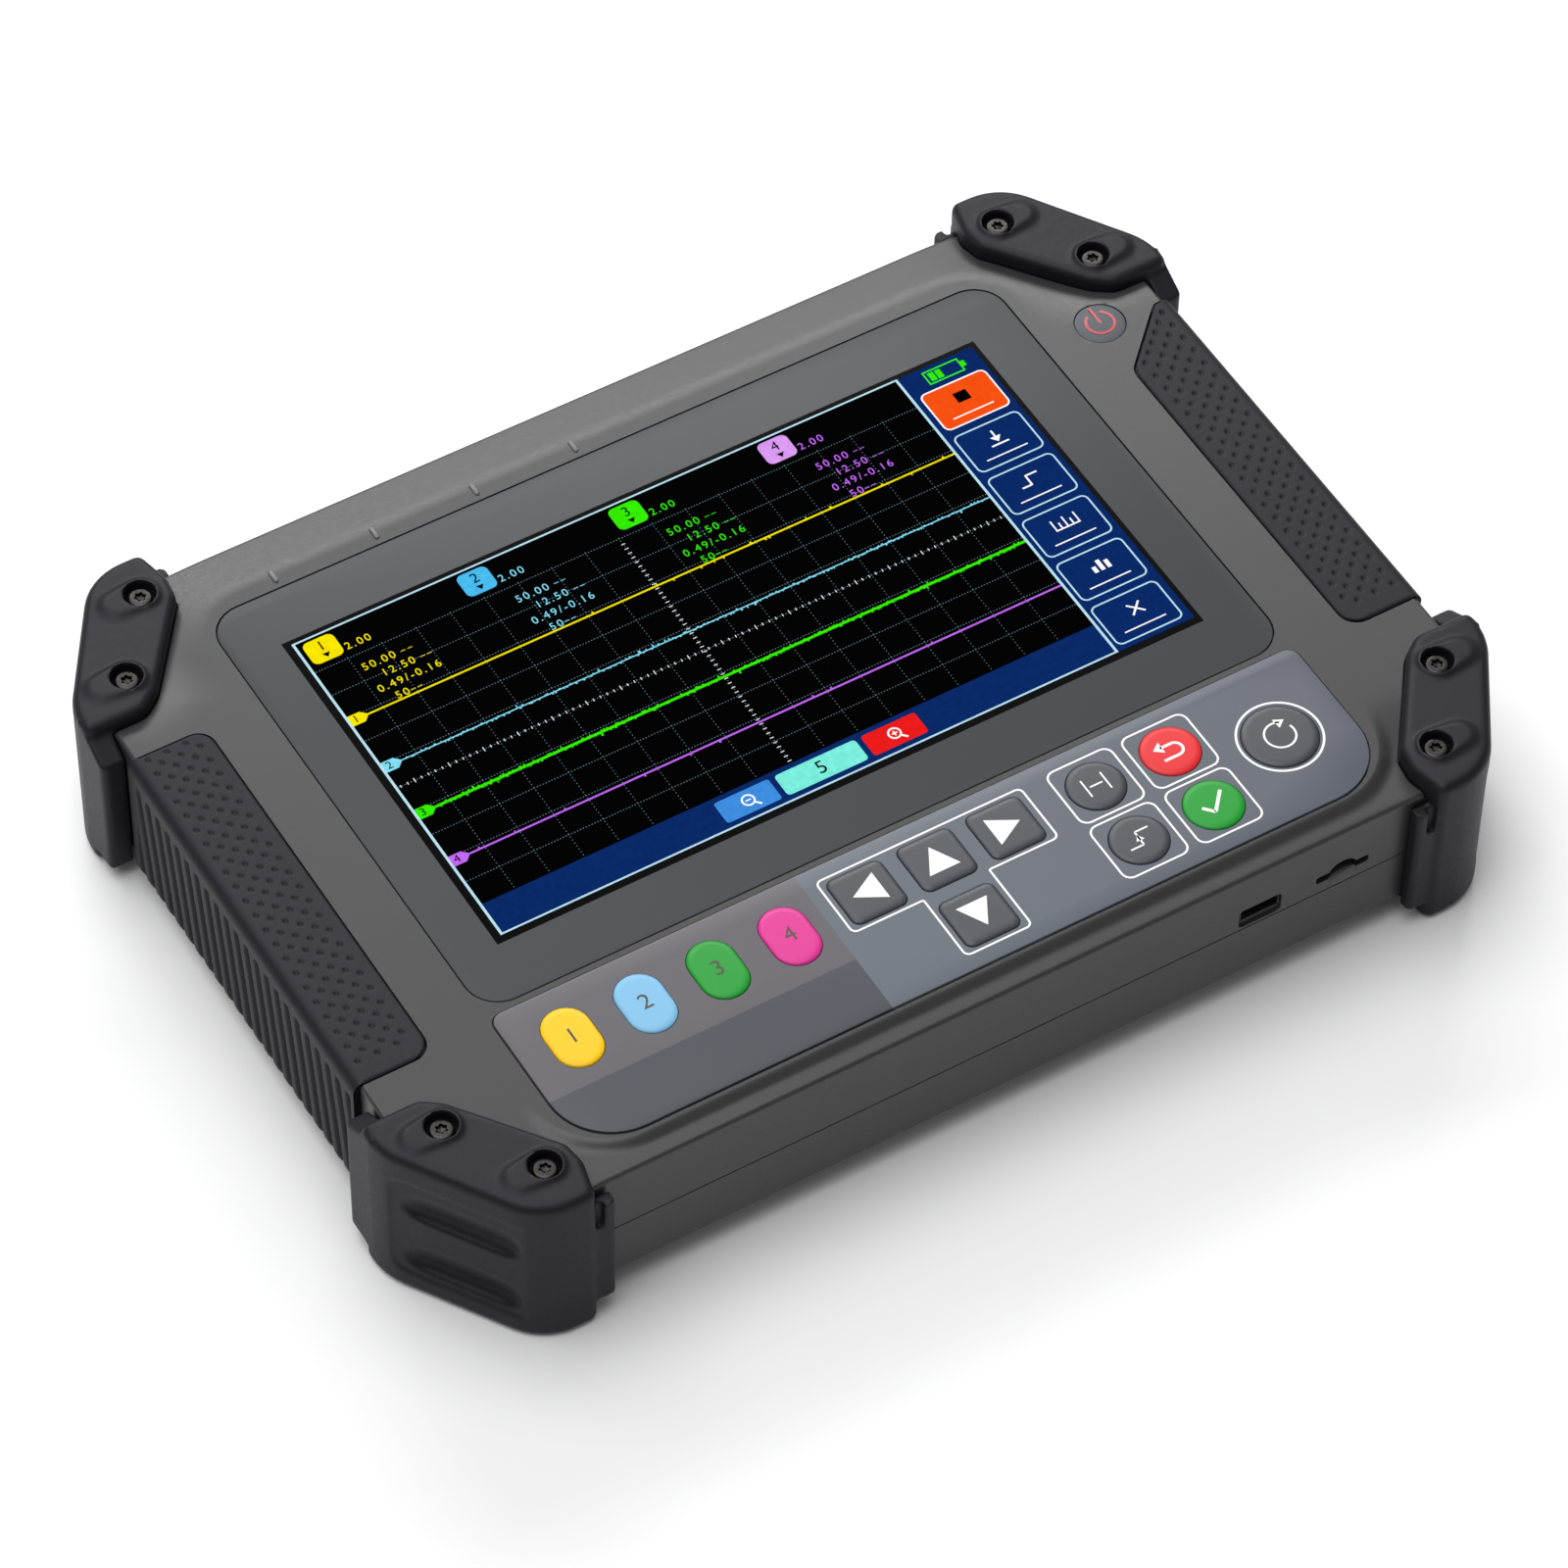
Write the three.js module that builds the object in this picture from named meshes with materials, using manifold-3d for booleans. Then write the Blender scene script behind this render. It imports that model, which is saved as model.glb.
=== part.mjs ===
// Rugged tablet oscilloscope with a seven inch display, lying face up.
// Millimetres, +Z up, +X to the user's right, +Y away from the user.
// The origin is the centre of the bounding box's bottom face.
import * as THREE from 'three';
import { mergeVertices } from 'three/addons/utils/BufferGeometryUtils.js';
import Module from 'manifold-3d';

const wasm = await Module();
wasm.setup();

// Driving dimensions.
const gap = 0.3;                       // clearance between pieces that touch on the real object
const overall = { x: 245, y: 178, z: 40.8 };
const shell = { x: 117, y: 85, bottom: 2.5, parting: 20, top: 37, wall: 2.5, underGrip: 112.6 };
const rearSlope = { from: 72, drop: 2 };       // the top falls away behind this line
const frontStep = { from: -79.6, to: -82.2, drop: 1.3 };
const plate = 4.5;                     // thickness of the front shell's top wall
const guard = { top: 40, chamferX: 18.5, chamferY: 28.5, wall: 4.5, shelf: 3, innerX: 90.8, innerY: 53.6 };
const groove = { length: 25, height: 8, depth: 1.4, heights: [11.4, 27.1] };  // finger grooves in a guard
const guardReturn = { bottom: 3.7, sideLength: 5.6, sideThick: 5, endLength: 1.5, endThick: 3.5, overlap: 4 };
const boss = { length: 13.2, width: 9.4, shift: 1.9, slope: 0.7 };  // the swelling round a guard screw
const grip = { inner: 101.5, outer: 118.4, rear: 45.5, front: -44, thick: 2.6, proud: 0.4 };
const gripFoot = { x: 108, bottom: 2.9, thick: 2.4, hip: 4.3, innerHip: 2.8, edge: 1.2, relief: 12 };
const screen = { x: -0.5, y: 14.1, width: 160, height: 90, thick: 5.4 };
const gasket = 0.8;                    // thickness of the foam ring between window and display
const lens = { width: 178, height: 110, y: 14.2, thick: 1.7, radius: 6 };
const keypad = { width: 178, y0: -78.5, y1: -42.6, thick: 1.3, proud: 0.4, rearRadius: 2.5, frontRadius: 13 };
const key = { proud: 0.7, flange: 1, flangeThick: 1.4, travel: 0.6 };
const power = { x: 102.6, y: 47.8, radius: 5.2, thick: 3 };
const guardScrews = [[109.6, 61.8], [97.7, 79]];
const screw = { head: 2.45, shank: 1.5, top: 39.3, headHeight: 1.4, tip: 12, bore: 3.35 };
const bay = { halfWidth: 82, bottom: 6.5, top: 27, wall: 2, slot: 1.3 };
const panel = { thick: 2, y: 77 };
const inputs = { first: -72, pitch: 22.4, z: 16.8, length: 11.5, bush: 4.85 };
const terminal = { x: 14, halfWidth: 3, halfHeight: 5 };
const jack = { x: 50, halfWidth: 4.5, halfHeight: 5.5, mouth: 3.1, pin: 1 };
const cover = { width: 124, depth: 70, y: -10, thick: 2.2 };
const battery = { width: 106, depth: 60, top: 14.6 };
const stand = { halfWidth: 55, hingeY: 36, hingeZ: 5.4, tipY: 74, thick: 2.4, barrel: 2.2, pin: 1 };
const board = { x: 96, waist: 85, y0: -72, y1: 65, ear: 48, bottom: 16, thick: 1.6 };
const usb = { x: 54.9, z: 23.9, width: 8.9, height: 3.2 };
const card = { x: 73.6, z: 23.9, width: 11.6, height: 1.4 };

const centred = [-1, 1];

// Plain finishes; every mesh gets one of these.
const finishes = {
  shell: { color: 0x5c5b5c, roughness: 0.55, metalness: 0.1 },
  rubber: { color: 0x33323a, roughness: 0.75, metalness: 0 },
  glass: { color: 0x4d5054, roughness: 0.2, metalness: 0 },
  screen: { color: 0x10121a, roughness: 0.3, metalness: 0 },
  membrane: { color: 0x69707d, roughness: 0.5, metalness: 0 },
  steel: { color: 0x9a9a98, roughness: 0.35, metalness: 1 },
  board: { color: 0x1d5b3a, roughness: 0.5, metalness: 0 },
  nickel: { color: 0xc9c4b8, roughness: 0.3, metalness: 1 },
  foam: { color: 0x18181a, roughness: 0.9, metalness: 0 },
  battery: { color: 0x2e4a78, roughness: 0.5, metalness: 0 },
  yellow: { color: 0xf7d51d, roughness: 0.45, metalness: 0 },
  sky: { color: 0x7fd0ee, roughness: 0.45, metalness: 0 },
  green: { color: 0x35b44a, roughness: 0.45, metalness: 0 },
  pink: { color: 0xe08ac0, roughness: 0.45, metalness: 0 },
  red: { color: 0xd2333c, roughness: 0.45, metalness: 0 },
  charcoal: { color: 0x3b3d42, roughness: 0.5, metalness: 0 },
};

// Solids and their meshes.
function toSolid(geometry) {
  geometry.deleteAttribute('normal');
  geometry.deleteAttribute('uv');
  const merged = mergeVertices(geometry, 1e-4);
  return new wasm.Manifold(new wasm.Mesh({
    numProp: 3,
    vertProperties: new Float32Array(merged.attributes.position.array),
    triVerts: new Uint32Array(merged.index.array),
  }));
}

function toGeometry(solid) {
  const { numProp, vertProperties, triVerts } = solid.getMesh();
  if (numProp !== 3) throw new Error('only positions are expected');
  const geometry = new THREE.BufferGeometry();
  geometry.setAttribute('position', new THREE.BufferAttribute(vertProperties, 3));
  geometry.setIndex(new THREE.BufferAttribute(triVerts, 1));
  geometry.computeVertexNormals();
  return geometry;
}

function joined(solids) {
  return solids.reduce((whole, piece) => whole.add(piece));
}

function without(solid, cuts) {
  return cuts.reduce((rest, cut) => rest.subtract(cut), solid);
}

// An outline from corners [x, y, radius]; a radius of 0 keeps the corner sharp.
function outline(corners) {
  const shape = new THREE.Shape();
  corners.forEach(([x, y, radius = 0], i) => {
    const corner = new THREE.Vector2(x, y);
    const [px, py] = corners.at(i - 1);
    const [nx, ny] = corners[(i + 1) % corners.length];
    const back = new THREE.Vector2(px, py).sub(corner).normalize();
    const ahead = new THREE.Vector2(nx, ny).sub(corner).normalize();
    const half = Math.acos(THREE.MathUtils.clamp(back.dot(ahead), -1, 1)) / 2;
    const reach = radius / Math.tan(half);
    const start = corner.clone().addScaledVector(back, reach);
    const end = corner.clone().addScaledVector(ahead, reach);
    if (i === 0) shape.moveTo(start.x, start.y);
    else shape.lineTo(start.x, start.y);
    if (radius === 0) return;
    const middle = back.clone().add(ahead).normalize();
    const centre = corner.clone().addScaledVector(middle, radius / Math.sin(half));
    const from = Math.atan2(start.y - centre.y, start.x - centre.x);
    const to = Math.atan2(end.y - centre.y, end.x - centre.x);
    shape.absarc(centre.x, centre.y, radius, from, to, back.cross(ahead) > 0);
  });
  shape.closePath();
  return shape;
}

function rectangle(width, height, radius, x = 0, y = 0) {
  const w = width / 2;
  const h = height / 2;
  const corners = [[x - w, y - h], [x + w, y - h], [x + w, y + h], [x - w, y + h]];
  return outline(corners.map(([a, b]) => [a, b, radius]));
}

// A pill along Y, or a circle when reach is 0.
function pill(x, y, radius, reach) {
  const steps = 6;
  const corners = [];
  for (let i = 0; i < 2 * steps + (reach > 0 ? 2 : 0); i += 1) {
    const rear = i <= steps;
    const step = reach > 0 && !rear ? i - 1 : i;
    const angle = Math.PI * step / steps;
    const end = reach * (rear ? 1 : -1);
    corners.push([x + radius * Math.cos(angle), y + end + radius * Math.sin(angle)]);
  }
  return outline(corners);
}

// A shape raised from z0 to z1, with its edges chamfered at both ends.
function prism(shape, z0, z1, { chamfer = 0, segments = 2 } = {}) {
  const geometry = new THREE.ExtrudeGeometry(shape, {
    depth: z1 - z0 - 2 * chamfer,
    bevelEnabled: chamfer > 0,
    bevelThickness: chamfer,
    bevelSize: chamfer,
    bevelOffset: -chamfer,
    bevelSegments: 1,
    curveSegments: segments,
  });
  geometry.translate(0, 0, z0 + chamfer);
  return toSolid(geometry);
}

function extruded(shape, depth, curveSegments = 2) {
  return new THREE.ExtrudeGeometry(shape, { depth, bevelEnabled: false, curveSegments });
}

// A shape drawn in Y and Z, swept along X from -reach to reach.
function sweptAlongX(shape, reach) {
  const geometry = extruded(shape, 2 * reach);
  geometry.rotateX(Math.PI / 2);
  geometry.rotateZ(Math.PI / 2);
  geometry.translate(-reach, 0, 0);
  return toSolid(geometry);
}

// A shape drawn in X and Z, swept along Y from y0 to y1.
function swept(shape, y0, y1) {
  const geometry = extruded(shape, y1 - y0);
  geometry.rotateX(Math.PI / 2);
  geometry.translate(0, y1, 0);
  return toSolid(geometry);
}

function block(x0, x1, y0, y1, z0, z1) {
  const geometry = new THREE.BoxGeometry(x1 - x0, y1 - y0, z1 - z0);
  geometry.translate((x0 + x1) / 2, (y0 + y1) / 2, (z0 + z1) / 2);
  return toSolid(geometry);
}

function rod(radius, z0, z1, x, y, segments = 10) {
  const geometry = new THREE.CylinderGeometry(radius, radius, z1 - z0, segments);
  geometry.rotateX(Math.PI / 2);
  geometry.translate(x, y, (z0 + z1) / 2);
  return toSolid(geometry);
}

function rodAlongX(radius, x0, x1, y, z, segments = 16) {
  const geometry = new THREE.CylinderGeometry(radius, radius, x1 - x0, segments);
  geometry.rotateZ(Math.PI / 2);
  geometry.translate((x0 + x1) / 2, y, z);
  return toSolid(geometry);
}

function rodAlongY(radius, y0, y1, x, z, segments = 16) {
  const geometry = new THREE.CylinderGeometry(radius, radius, y1 - y0, segments);
  geometry.translate(x, (y0 + y1) / 2, z);
  return toSolid(geometry);
}

// Both shells: a rectangle whose corners are cut parallel to the guards' outer faces.
function shellOutline(inset = 0, radius = 2) {
  const length = Math.hypot(guard.chamferX, guard.chamferY);
  const normal = [guard.chamferY / length, guard.chamferX / length];
  const face = normal[0] * overall.x / 2 + normal[1] * (overall.y / 2 - guard.chamferY);
  const reach = face - guard.wall - inset;
  const x = shell.x - inset;
  const y = shell.y - inset;
  const yAtSide = (reach - normal[0] * x) / normal[1];
  const xAtRear = (reach - normal[1] * y) / normal[0];
  const corners = [[x, yAtSide], [xAtRear, y]];
  const left = corners.map(([a, b]) => [-a, b]).reverse();
  const front = [...corners, ...left].map(([a, b]) => [a, -b]).reverse();
  return outline([...corners, ...left, ...front].map(([a, b]) => [a, b, radius]));
}

// The plan of one corner guard's top and bottom plates; sx and sy choose the corner.
function guardOutline(sx, sy, clearance = 0) {
  const halfX = overall.x / 2;
  const halfY = overall.y / 2;
  const plan = [
    [guard.innerX + 2.2 - clearance, halfY + clearance, 0],
    [guard.innerX - clearance, halfY - 8, 3],
    [guard.innerX + 0.7 - clearance, halfY - 13, 3],
    [guard.innerX + 15, guard.innerY + 3 - clearance, 5],
    [guard.innerX + 19, guard.innerY - clearance, 4],
    [halfX + clearance, guard.innerY - clearance, 0],
    [halfX + clearance, halfY - guard.chamferY, 7],
    [halfX - guard.chamferX, halfY + clearance, 7],
  ];
  return outline(plan.map(([x, y, r]) => [sx * x, sy * y, r]));
}

// The seat that a guard leaves in the shells, above and below.
function guardSeats(sx, sy) {
  const plan = guardOutline(sx, sy, gap);
  return [
    prism(plan, shell.top - guard.shelf, overall.z + 1, { segments: 1 }),
    prism(plan, -1, shell.bottom + guard.shelf - 0.5, { segments: 1 }),
  ];
}

function guardSolid(sx, sy) {
  const halfX = overall.x / 2;
  const halfY = overall.y / 2;
  const body = prism(guardOutline(sx, sy), 0, guard.top, { chamfer: 1.2, segments: 1 });
  const bosses = guardScrews.map(([x, y]) => {
    const plan = rectangle(boss.length, boss.width, boss.width / 2 - 0.1, sx * (x + boss.shift), sy * y);
    return prism(plan, guard.top - 1, overall.z, { chamfer: boss.slope, segments: 3 });
  });
  const { bottom, sideLength, sideThick, endLength, endThick, overlap } = guardReturn;
  const slab = (x0, x1, y0, y1, top) => prism(
    outline([[sx * x0, sy * y0], [sx * x1, sy * y0], [sx * x1, sy * y1], [sx * x0, sy * y1]]), bottom, top);
  const sideReturn = slab(
    halfX - sideThick, halfX, guard.innerY - sideLength, guard.innerY + overlap, shell.top - 0.4);
  const endReturn = slab(
    guard.innerX - endLength, guard.innerX + overlap + 2, halfY - 0.2 - endThick, halfY - 0.2, shell.top - 1);
  const coreBottom = shell.bottom + guard.shelf - 0.5 - gap;
  const core = prism(shellOutline(-gap), coreBottom, shell.top - guard.shelf + gap, { segments: 1 });
  const grooves = groove.heights.map((z) => fingerGroove(sx, sy, z));
  const bores = guardScrews.flatMap(([x, y]) => [
    rod(screw.bore, screw.top - screw.headHeight - gap, overall.z + 1, sx * x, sy * y),
    rod(screw.shank + gap, shell.parting, overall.z, sx * x, sy * y, 8),
  ]);
  return without(joined([body, ...bosses, sideReturn, endReturn]), [core, ...grooves, ...bores]);
}

// A shallow horizontal groove in the guard's slanted outer face.
function fingerGroove(sx, sy, z) {
  const middleX = overall.x / 2 - guard.chamferX / 2;
  const middleY = overall.y / 2 - guard.chamferY / 2;
  const geometry = extruded(rectangle(groove.length, groove.height, groove.height / 2 - 0.1), groove.depth + 3, 1);
  geometry.translate(0, 0, -groove.depth);
  geometry.rotateX(Math.PI / 2);
  geometry.rotateZ(Math.atan2(guard.chamferY, guard.chamferX) * -1);
  geometry.rotateZ(Math.PI);
  geometry.scale(sx, sy, 1);
  geometry.translate(sx * middleX, sy * middleY, z);
  if (sx * sy < 0) flipTriangles(geometry);
  return toSolid(geometry);
}

// Turns every triangle over, after a mirror.
function flipTriangles(geometry) {
  const position = geometry.attributes.position;
  for (let i = 0; i < position.count; i += 3) {
    const a = new THREE.Vector3().fromBufferAttribute(position, i);
    const b = new THREE.Vector3().fromBufferAttribute(position, i + 1);
    position.setXYZ(i, b.x, b.y, b.z);
    position.setXYZ(i + 1, a.x, a.y, a.z);
  }
}

// One side grip: a C-shaped wrap, cut to its plan; the right one makes room for the power button.
function gripSolid(side, clearance = 0) {
  const { inner, outer, thick } = grip;
  const { x: foot, bottom, hip, innerHip, edge } = gripFoot;
  const top = shell.top + grip.proud;
  const floor = bottom + gripFoot.thick;
  const c = clearance;
  const wrap = outline([
    [inner - c, top - thick - c - grip.proud], [inner - c, top + 3 * c], [outer - edge + 3 * c, top + 3 * c],
    [outer + 3 * c, top - edge + 3 * c], [outer + 3 * c, bottom + hip - 3 * c],
    [outer - hip + 3 * c, bottom - 3 * c], [foot - c, bottom - 3 * c],
    [foot - c, floor + c], [outer - thick - innerHip - c, floor + c],
    [outer - thick - c, floor + innerHip + c], [outer - thick - c, top - thick - c - grip.proud],
  ].map(([x, z]) => [side * x, z]));
  const rear = grip.rear + c;
  const front = grip.front - c;
  const straight = [[inner - c, rear, 4], [outer + 2, rear, 0]];
  const { relief } = gripFoot;
  const relieved = [[inner - c, rear - relief, 5], [inner + relief - c, rear, 3], [outer + 2, rear, 0]];
  const plan = outline([
    [outer + 2, front, 0], [inner - c, front, 4], ...(side < 0 ? straight : relieved),
  ].map(([x, y, r]) => [side * x, y, r]));
  return swept(wrap, front - 1, rear + 1).intersect(prism(plan, 0, overall.z));
}

// The recess that the connectors sit in, in the rear wall, and the slot of its panel.
function bayWalls() {
  const w = bay.halfWidth + bay.wall;
  const y0 = panel.y - panel.thick - bay.wall;
  return block(-w, w, y0, shell.y - 1, bay.bottom - bay.wall, bay.top + bay.wall);
}

function bayCuts() {
  const w = bay.halfWidth;
  return [
    block(-w, w, panel.y + gap, shell.y + 1, bay.bottom, bay.top),
    block(
      -w - 1 - gap, w + 1 + gap, panel.y - panel.thick - gap, panel.y + gap,
      bay.bottom - bay.slot, bay.top + bay.slot),
    block(-w + 2, w - 2, panel.y - panel.thick - bay.wall - 1, panel.y, bay.bottom + 1.5, bay.top - 1.5),
  ];
}

// What make returns for each of the four corners, in one list.
function cornerPairs(make) {
  return centred.flatMap((sx) => centred.flatMap((sy) => make(sx, sy)));
}

function screwBores(z0, z1) {
  return cornerPairs((sx, sy) => guardScrews.map(([x, y]) => rod(screw.shank + gap, z0, z1, sx * x, sy * y, 8)));
}

// The hollow of both shells: wide under the grips, and clear of the solid corner blocks.
function hollow(z0, z1, zUnderGrip) {
  const w = shell.wall;
  const reach = guard.innerX - 4;
  return joined([
    block(-grip.inner + w + gap, grip.inner - w - gap, -guard.innerY + 4, guard.innerY - 4, z0, z1),
    block(-reach, reach, -shell.y + w, shell.y - w, z0, z1),
    block(-shell.underGrip, shell.underGrip, grip.front + 2, grip.rear - 4, z0, zUnderGrip),
  ]);
}

function frontHousing() {
  const z0 = shell.parting + gap / 2;
  const blank = prism(shellOutline(), z0 - 6, shell.top, { chamfer: 0.8, segments: 1 });
  const outer = blank.intersect(frontProfile());
  const inner = hollow(shell.parting - 3, shell.top - plate, shell.top - plate - 1);
  const body = outer.subtract(inner).add(bayWalls());
  const lensSeat = prism(lensOutline(gap), shell.top - lens.thick - gap, shell.top + 1);
  const view = block(
    screen.x - screen.width / 2 - gap, screen.x + screen.width / 2 + gap,
    screen.y - screen.height / 2 - gap, screen.y + screen.height / 2 + gap, shell.parting, shell.top);
  const padSeat = prism(keypadOutline(gap), shell.top + keypad.proud - keypad.thick - gap, shell.top + 1);
  const pockets = keys.map((k) => prism(k.shape(key.flange + gap), shell.parting, shell.top, { segments: 1 }));
  const powerBore = [
    rod(power.radius + gap, shell.parting, shell.top + 1, power.x, power.y, 16),
    rod(power.radius + 1 + gap, shell.parting, shell.top - 1.6, power.x, power.y, 16),
  ];
  const usbSlot = block(
    usb.x - usb.width / 2 - gap, usb.x + usb.width / 2 + gap, -shell.y - 1, -shell.y + 4,
    usb.z - usb.height / 2 - gap, usb.z + usb.height / 2 + gap);
  const cardSlot = block(
    card.x - card.width / 2, card.x + card.width / 2, -shell.y - 1, -shell.y + 4,
    card.z - card.height / 2, card.z + card.height / 2);
  const below = block(-200, 200, -200, 200, -10, z0);
  return without(body, [
    lensSeat, view, padSeat, ...pockets, ...powerBore, usbSlot, cardSlot, ...bayCuts(),
    ...cornerPairs(guardSeats), gripSolid(-1, gap), gripSolid(1, gap), ...screwBores(0, overall.z), below,
  ]);
}

// The front shell from the side: a step down in front of the keypad, and a slope behind the window.
function frontProfile() {
  const { top, y } = shell;
  const stepTop = top - frontStep.drop;
  const slopeEnd = top - rearSlope.drop;
  return sweptAlongX(outline([
    [-y, 0], [-y, stepTop - 1], [-y + 1, stepTop], [frontStep.to, stepTop], [frontStep.from, top],
    [rearSlope.from, top], [y - 0.6, slopeEnd], [y, slopeEnd - 0.7], [y, 0],
  ]), shell.x + 1);
}

function rearHousing() {
  const z1 = shell.parting - gap / 2;
  const outer = prism(shellOutline(0, 0), shell.bottom, z1 + 6, { chamfer: 4.4 });
  const inner = hollow(shell.bottom + shell.wall, shell.parting + 3, shell.parting + 3);
  const w = cover.width / 2;
  const d = cover.depth / 2;
  const frame = block(-w - 2, w + 2, cover.y - d - 2, cover.y + d + 2, shell.bottom + 1, 7);
  const standFloor = block(
    -stand.halfWidth - 6, stand.halfWidth + 6, stand.hingeY - 5, stand.tipY + 3, shell.bottom + 1, 9.4);
  const body = joined([outer.subtract(inner), frame, standFloor, bayWalls()]);
  const coverSeat = prism(rectangle(cover.width + 2 * gap, cover.depth + 2 * gap, 4, 0, cover.y), 0, 5);
  const batteryMouth = block(
    -battery.width / 2 - gap, battery.width / 2 + gap,
    cover.y - battery.depth / 2 - gap, cover.y + battery.depth / 2 + gap, 0, battery.top);
  const coverScrewBores = centred.map((side) => rod(1.25 + gap, 4, 9, side * (w - 4), cover.y, 8));
  const s = stand.halfWidth + gap;
  const { hingeY, hingeZ } = stand;
  const standSeat = block(-s, s, hingeY - 3, stand.tipY + gap, 0, shell.bottom + stand.thick + gap);
  const barrelSeat = block(-s, s, hingeY - 3, hingeY + 3, 0, hingeZ + stand.barrel + gap);
  const pinBore = rodAlongX(stand.pin + gap, -stand.halfWidth - 5, stand.halfWidth + 5, hingeY, hingeZ, 12);
  const notch = rod(9, 0, shell.bottom + stand.thick, 0, stand.tipY, 16);
  const above = block(-200, 200, -200, 200, z1, 60);
  return without(body, [
    coverSeat, batteryMouth, ...coverScrewBores, standSeat, barrelSeat, pinBore, notch, ...bayCuts(),
    ...cornerPairs(guardSeats), gripSolid(-1, gap), gripSolid(1, gap),
    ...screwBores(screw.tip - 1, overall.z), above,
  ]);
}

function lensOutline(clearance = 0) {
  const { width, height, radius, y } = lens;
  return rectangle(width + 2 * clearance, height + 2 * clearance, radius + clearance, 0, y);
}

function displayWindow() {
  return prism(lensOutline(), shell.top - lens.thick, shell.top, { chamfer: 0.25 });
}

function lcdGasket() {
  const z1 = shell.top - lens.thick - gap;
  const sheet = (inset, z0, z2) => prism(
    rectangle(screen.width - inset, screen.height - inset, 1, screen.x, screen.y), z0, z2);
  return sheet(0.4, z1 - gasket, z1).subtract(sheet(4.5, z1 - 2, z1 + 1));
}

function lcdModule() {
  const z1 = shell.top - lens.thick - 2 * gap - gasket;
  const panelBody = prism(rectangle(screen.width, screen.height, 0.8, screen.x, screen.y), z1 - screen.thick, z1);
  const flexTail = block(-16, 16, -33, -24, z1 - screen.thick, z1 - screen.thick + 1);
  return panelBody.add(flexTail);
}

function keypadOutline(clearance = 0) {
  const w = keypad.width / 2 + clearance;
  const y0 = keypad.y0 - clearance;
  const y1 = keypad.y1 + clearance;
  const { frontRadius, rearRadius } = keypad;
  return outline([[-w, y0, frontRadius], [w, y0, frontRadius], [w, y1, rearRadius], [-w, y1, rearRadius]]);
}

function keypadOverlay() {
  const top = shell.top + keypad.proud;
  const sheet = prism(keypadOutline(), top - keypad.thick, top);
  return without(sheet, keys.map((k) => prism(k.shape(gap), shell.parting, overall.z, { segments: 1 })));
}

// Keys: name, finish, centre, and the outline of the cap grown by a clearance.
function squareKey(name, x, y) {
  const size = 12;
  const shape = (grow) => rectangle(size + 2 * grow, size + 2 * grow, 1.8 + grow, x, y);
  return { name, finish: 'charcoal', x, y, shape };
}

function roundKey(name, finish, x, y, radius) {
  return { name, finish, x, y, shape: (grow) => pill(x, y, radius + grow, 0) };
}

function channelKey(finish, i) {
  const width = 9.7;
  const reach = (14.4 - width) / 2;
  const [x, y] = [-77.9 + 15.6 * i, -54.5];
  return { name: `key_ch${i + 1}`, finish, x, y, shape: (grow) => pill(x, y, width / 2 + grow, reach) };
}

const rows = { rear: -52.9, front: -68.1 };
const columns = { left: -13.3, middle: 2.1, right: 17.4, dark: 37.6, bright: 54.4 };
const keys = [
  ...['yellow', 'sky', 'green', 'pink'].map(channelKey),
  squareKey('key_left', columns.left, rows.rear),
  squareKey('key_up', columns.middle, rows.rear),
  squareKey('key_right', columns.right, rows.rear),
  squareKey('key_down', columns.middle, rows.front),
  roundKey('key_cursors', 'charcoal', columns.dark, rows.rear, 5.9),
  roundKey('key_trigger', 'charcoal', columns.dark, rows.front, 5.9),
  roundKey('key_back', 'red', columns.bright, rows.rear, 6),
  roundKey('key_ok', 'green', columns.bright, rows.front, 6),
  roundKey('key_default', 'charcoal', 74.5, -60.4, 7.6),
];

function keySolid(k) {
  const under = shell.top + keypad.proud - keypad.thick - gap;
  const cap = prism(k.shape(0), under - 0.2, shell.top + keypad.proud + key.proud, { segments: 1 });
  return cap.add(prism(k.shape(key.flange), under - key.flangeThick, under, { segments: 1 }));
}

// The switch board under the keys, with one dome switch below each.
function keyBoard() {
  const top = shell.top - plate - gap;
  const sheet = block(-86, 86, -77, -44, top - 1.2, top);
  const domeTop = shell.top + keypad.proud - keypad.thick - gap - key.flangeThick - key.travel - gap;
  const domes = keys.map((k) => rod(2.5, top - 0.5, domeTop, k.x, k.y, 8));
  return joined([sheet, ...domes]);
}

function powerButton() {
  const cap = rod(power.radius, shell.top - power.thick, shell.top + 0.3, power.x, power.y, 16);
  return cap.add(rod(power.radius + 1, shell.top - power.thick, shell.top - 1.6 - gap, power.x, power.y, 16));
}

function powerSwitch() {
  const top = shell.top - power.thick - 1.6;
  const body = block(power.x - 3.1, power.x + 3.1, power.y - 3.1, power.y + 3.1, top - 3.5, top);
  return body.add(rod(1.7, top - 1, top + 0.7, power.x, power.y, 12));
}

function guardScrew(x, y) {
  const { top, head, shank, headHeight, tip } = screw;
  const profile = [
    [0, tip], [shank, tip], [shank, top - headHeight], [head, top - headHeight], [head, top - 0.4],
    [head - 0.4, top], [1.2, top], [1.2, top - 0.9], [0, top - 0.9],
  ].map(([r, z]) => new THREE.Vector2(r, z));
  const geometry = new THREE.LatheGeometry(profile, 8);
  geometry.rotateX(Math.PI / 2);
  geometry.translate(x, y, 0);
  return toSolid(geometry);
}

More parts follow.
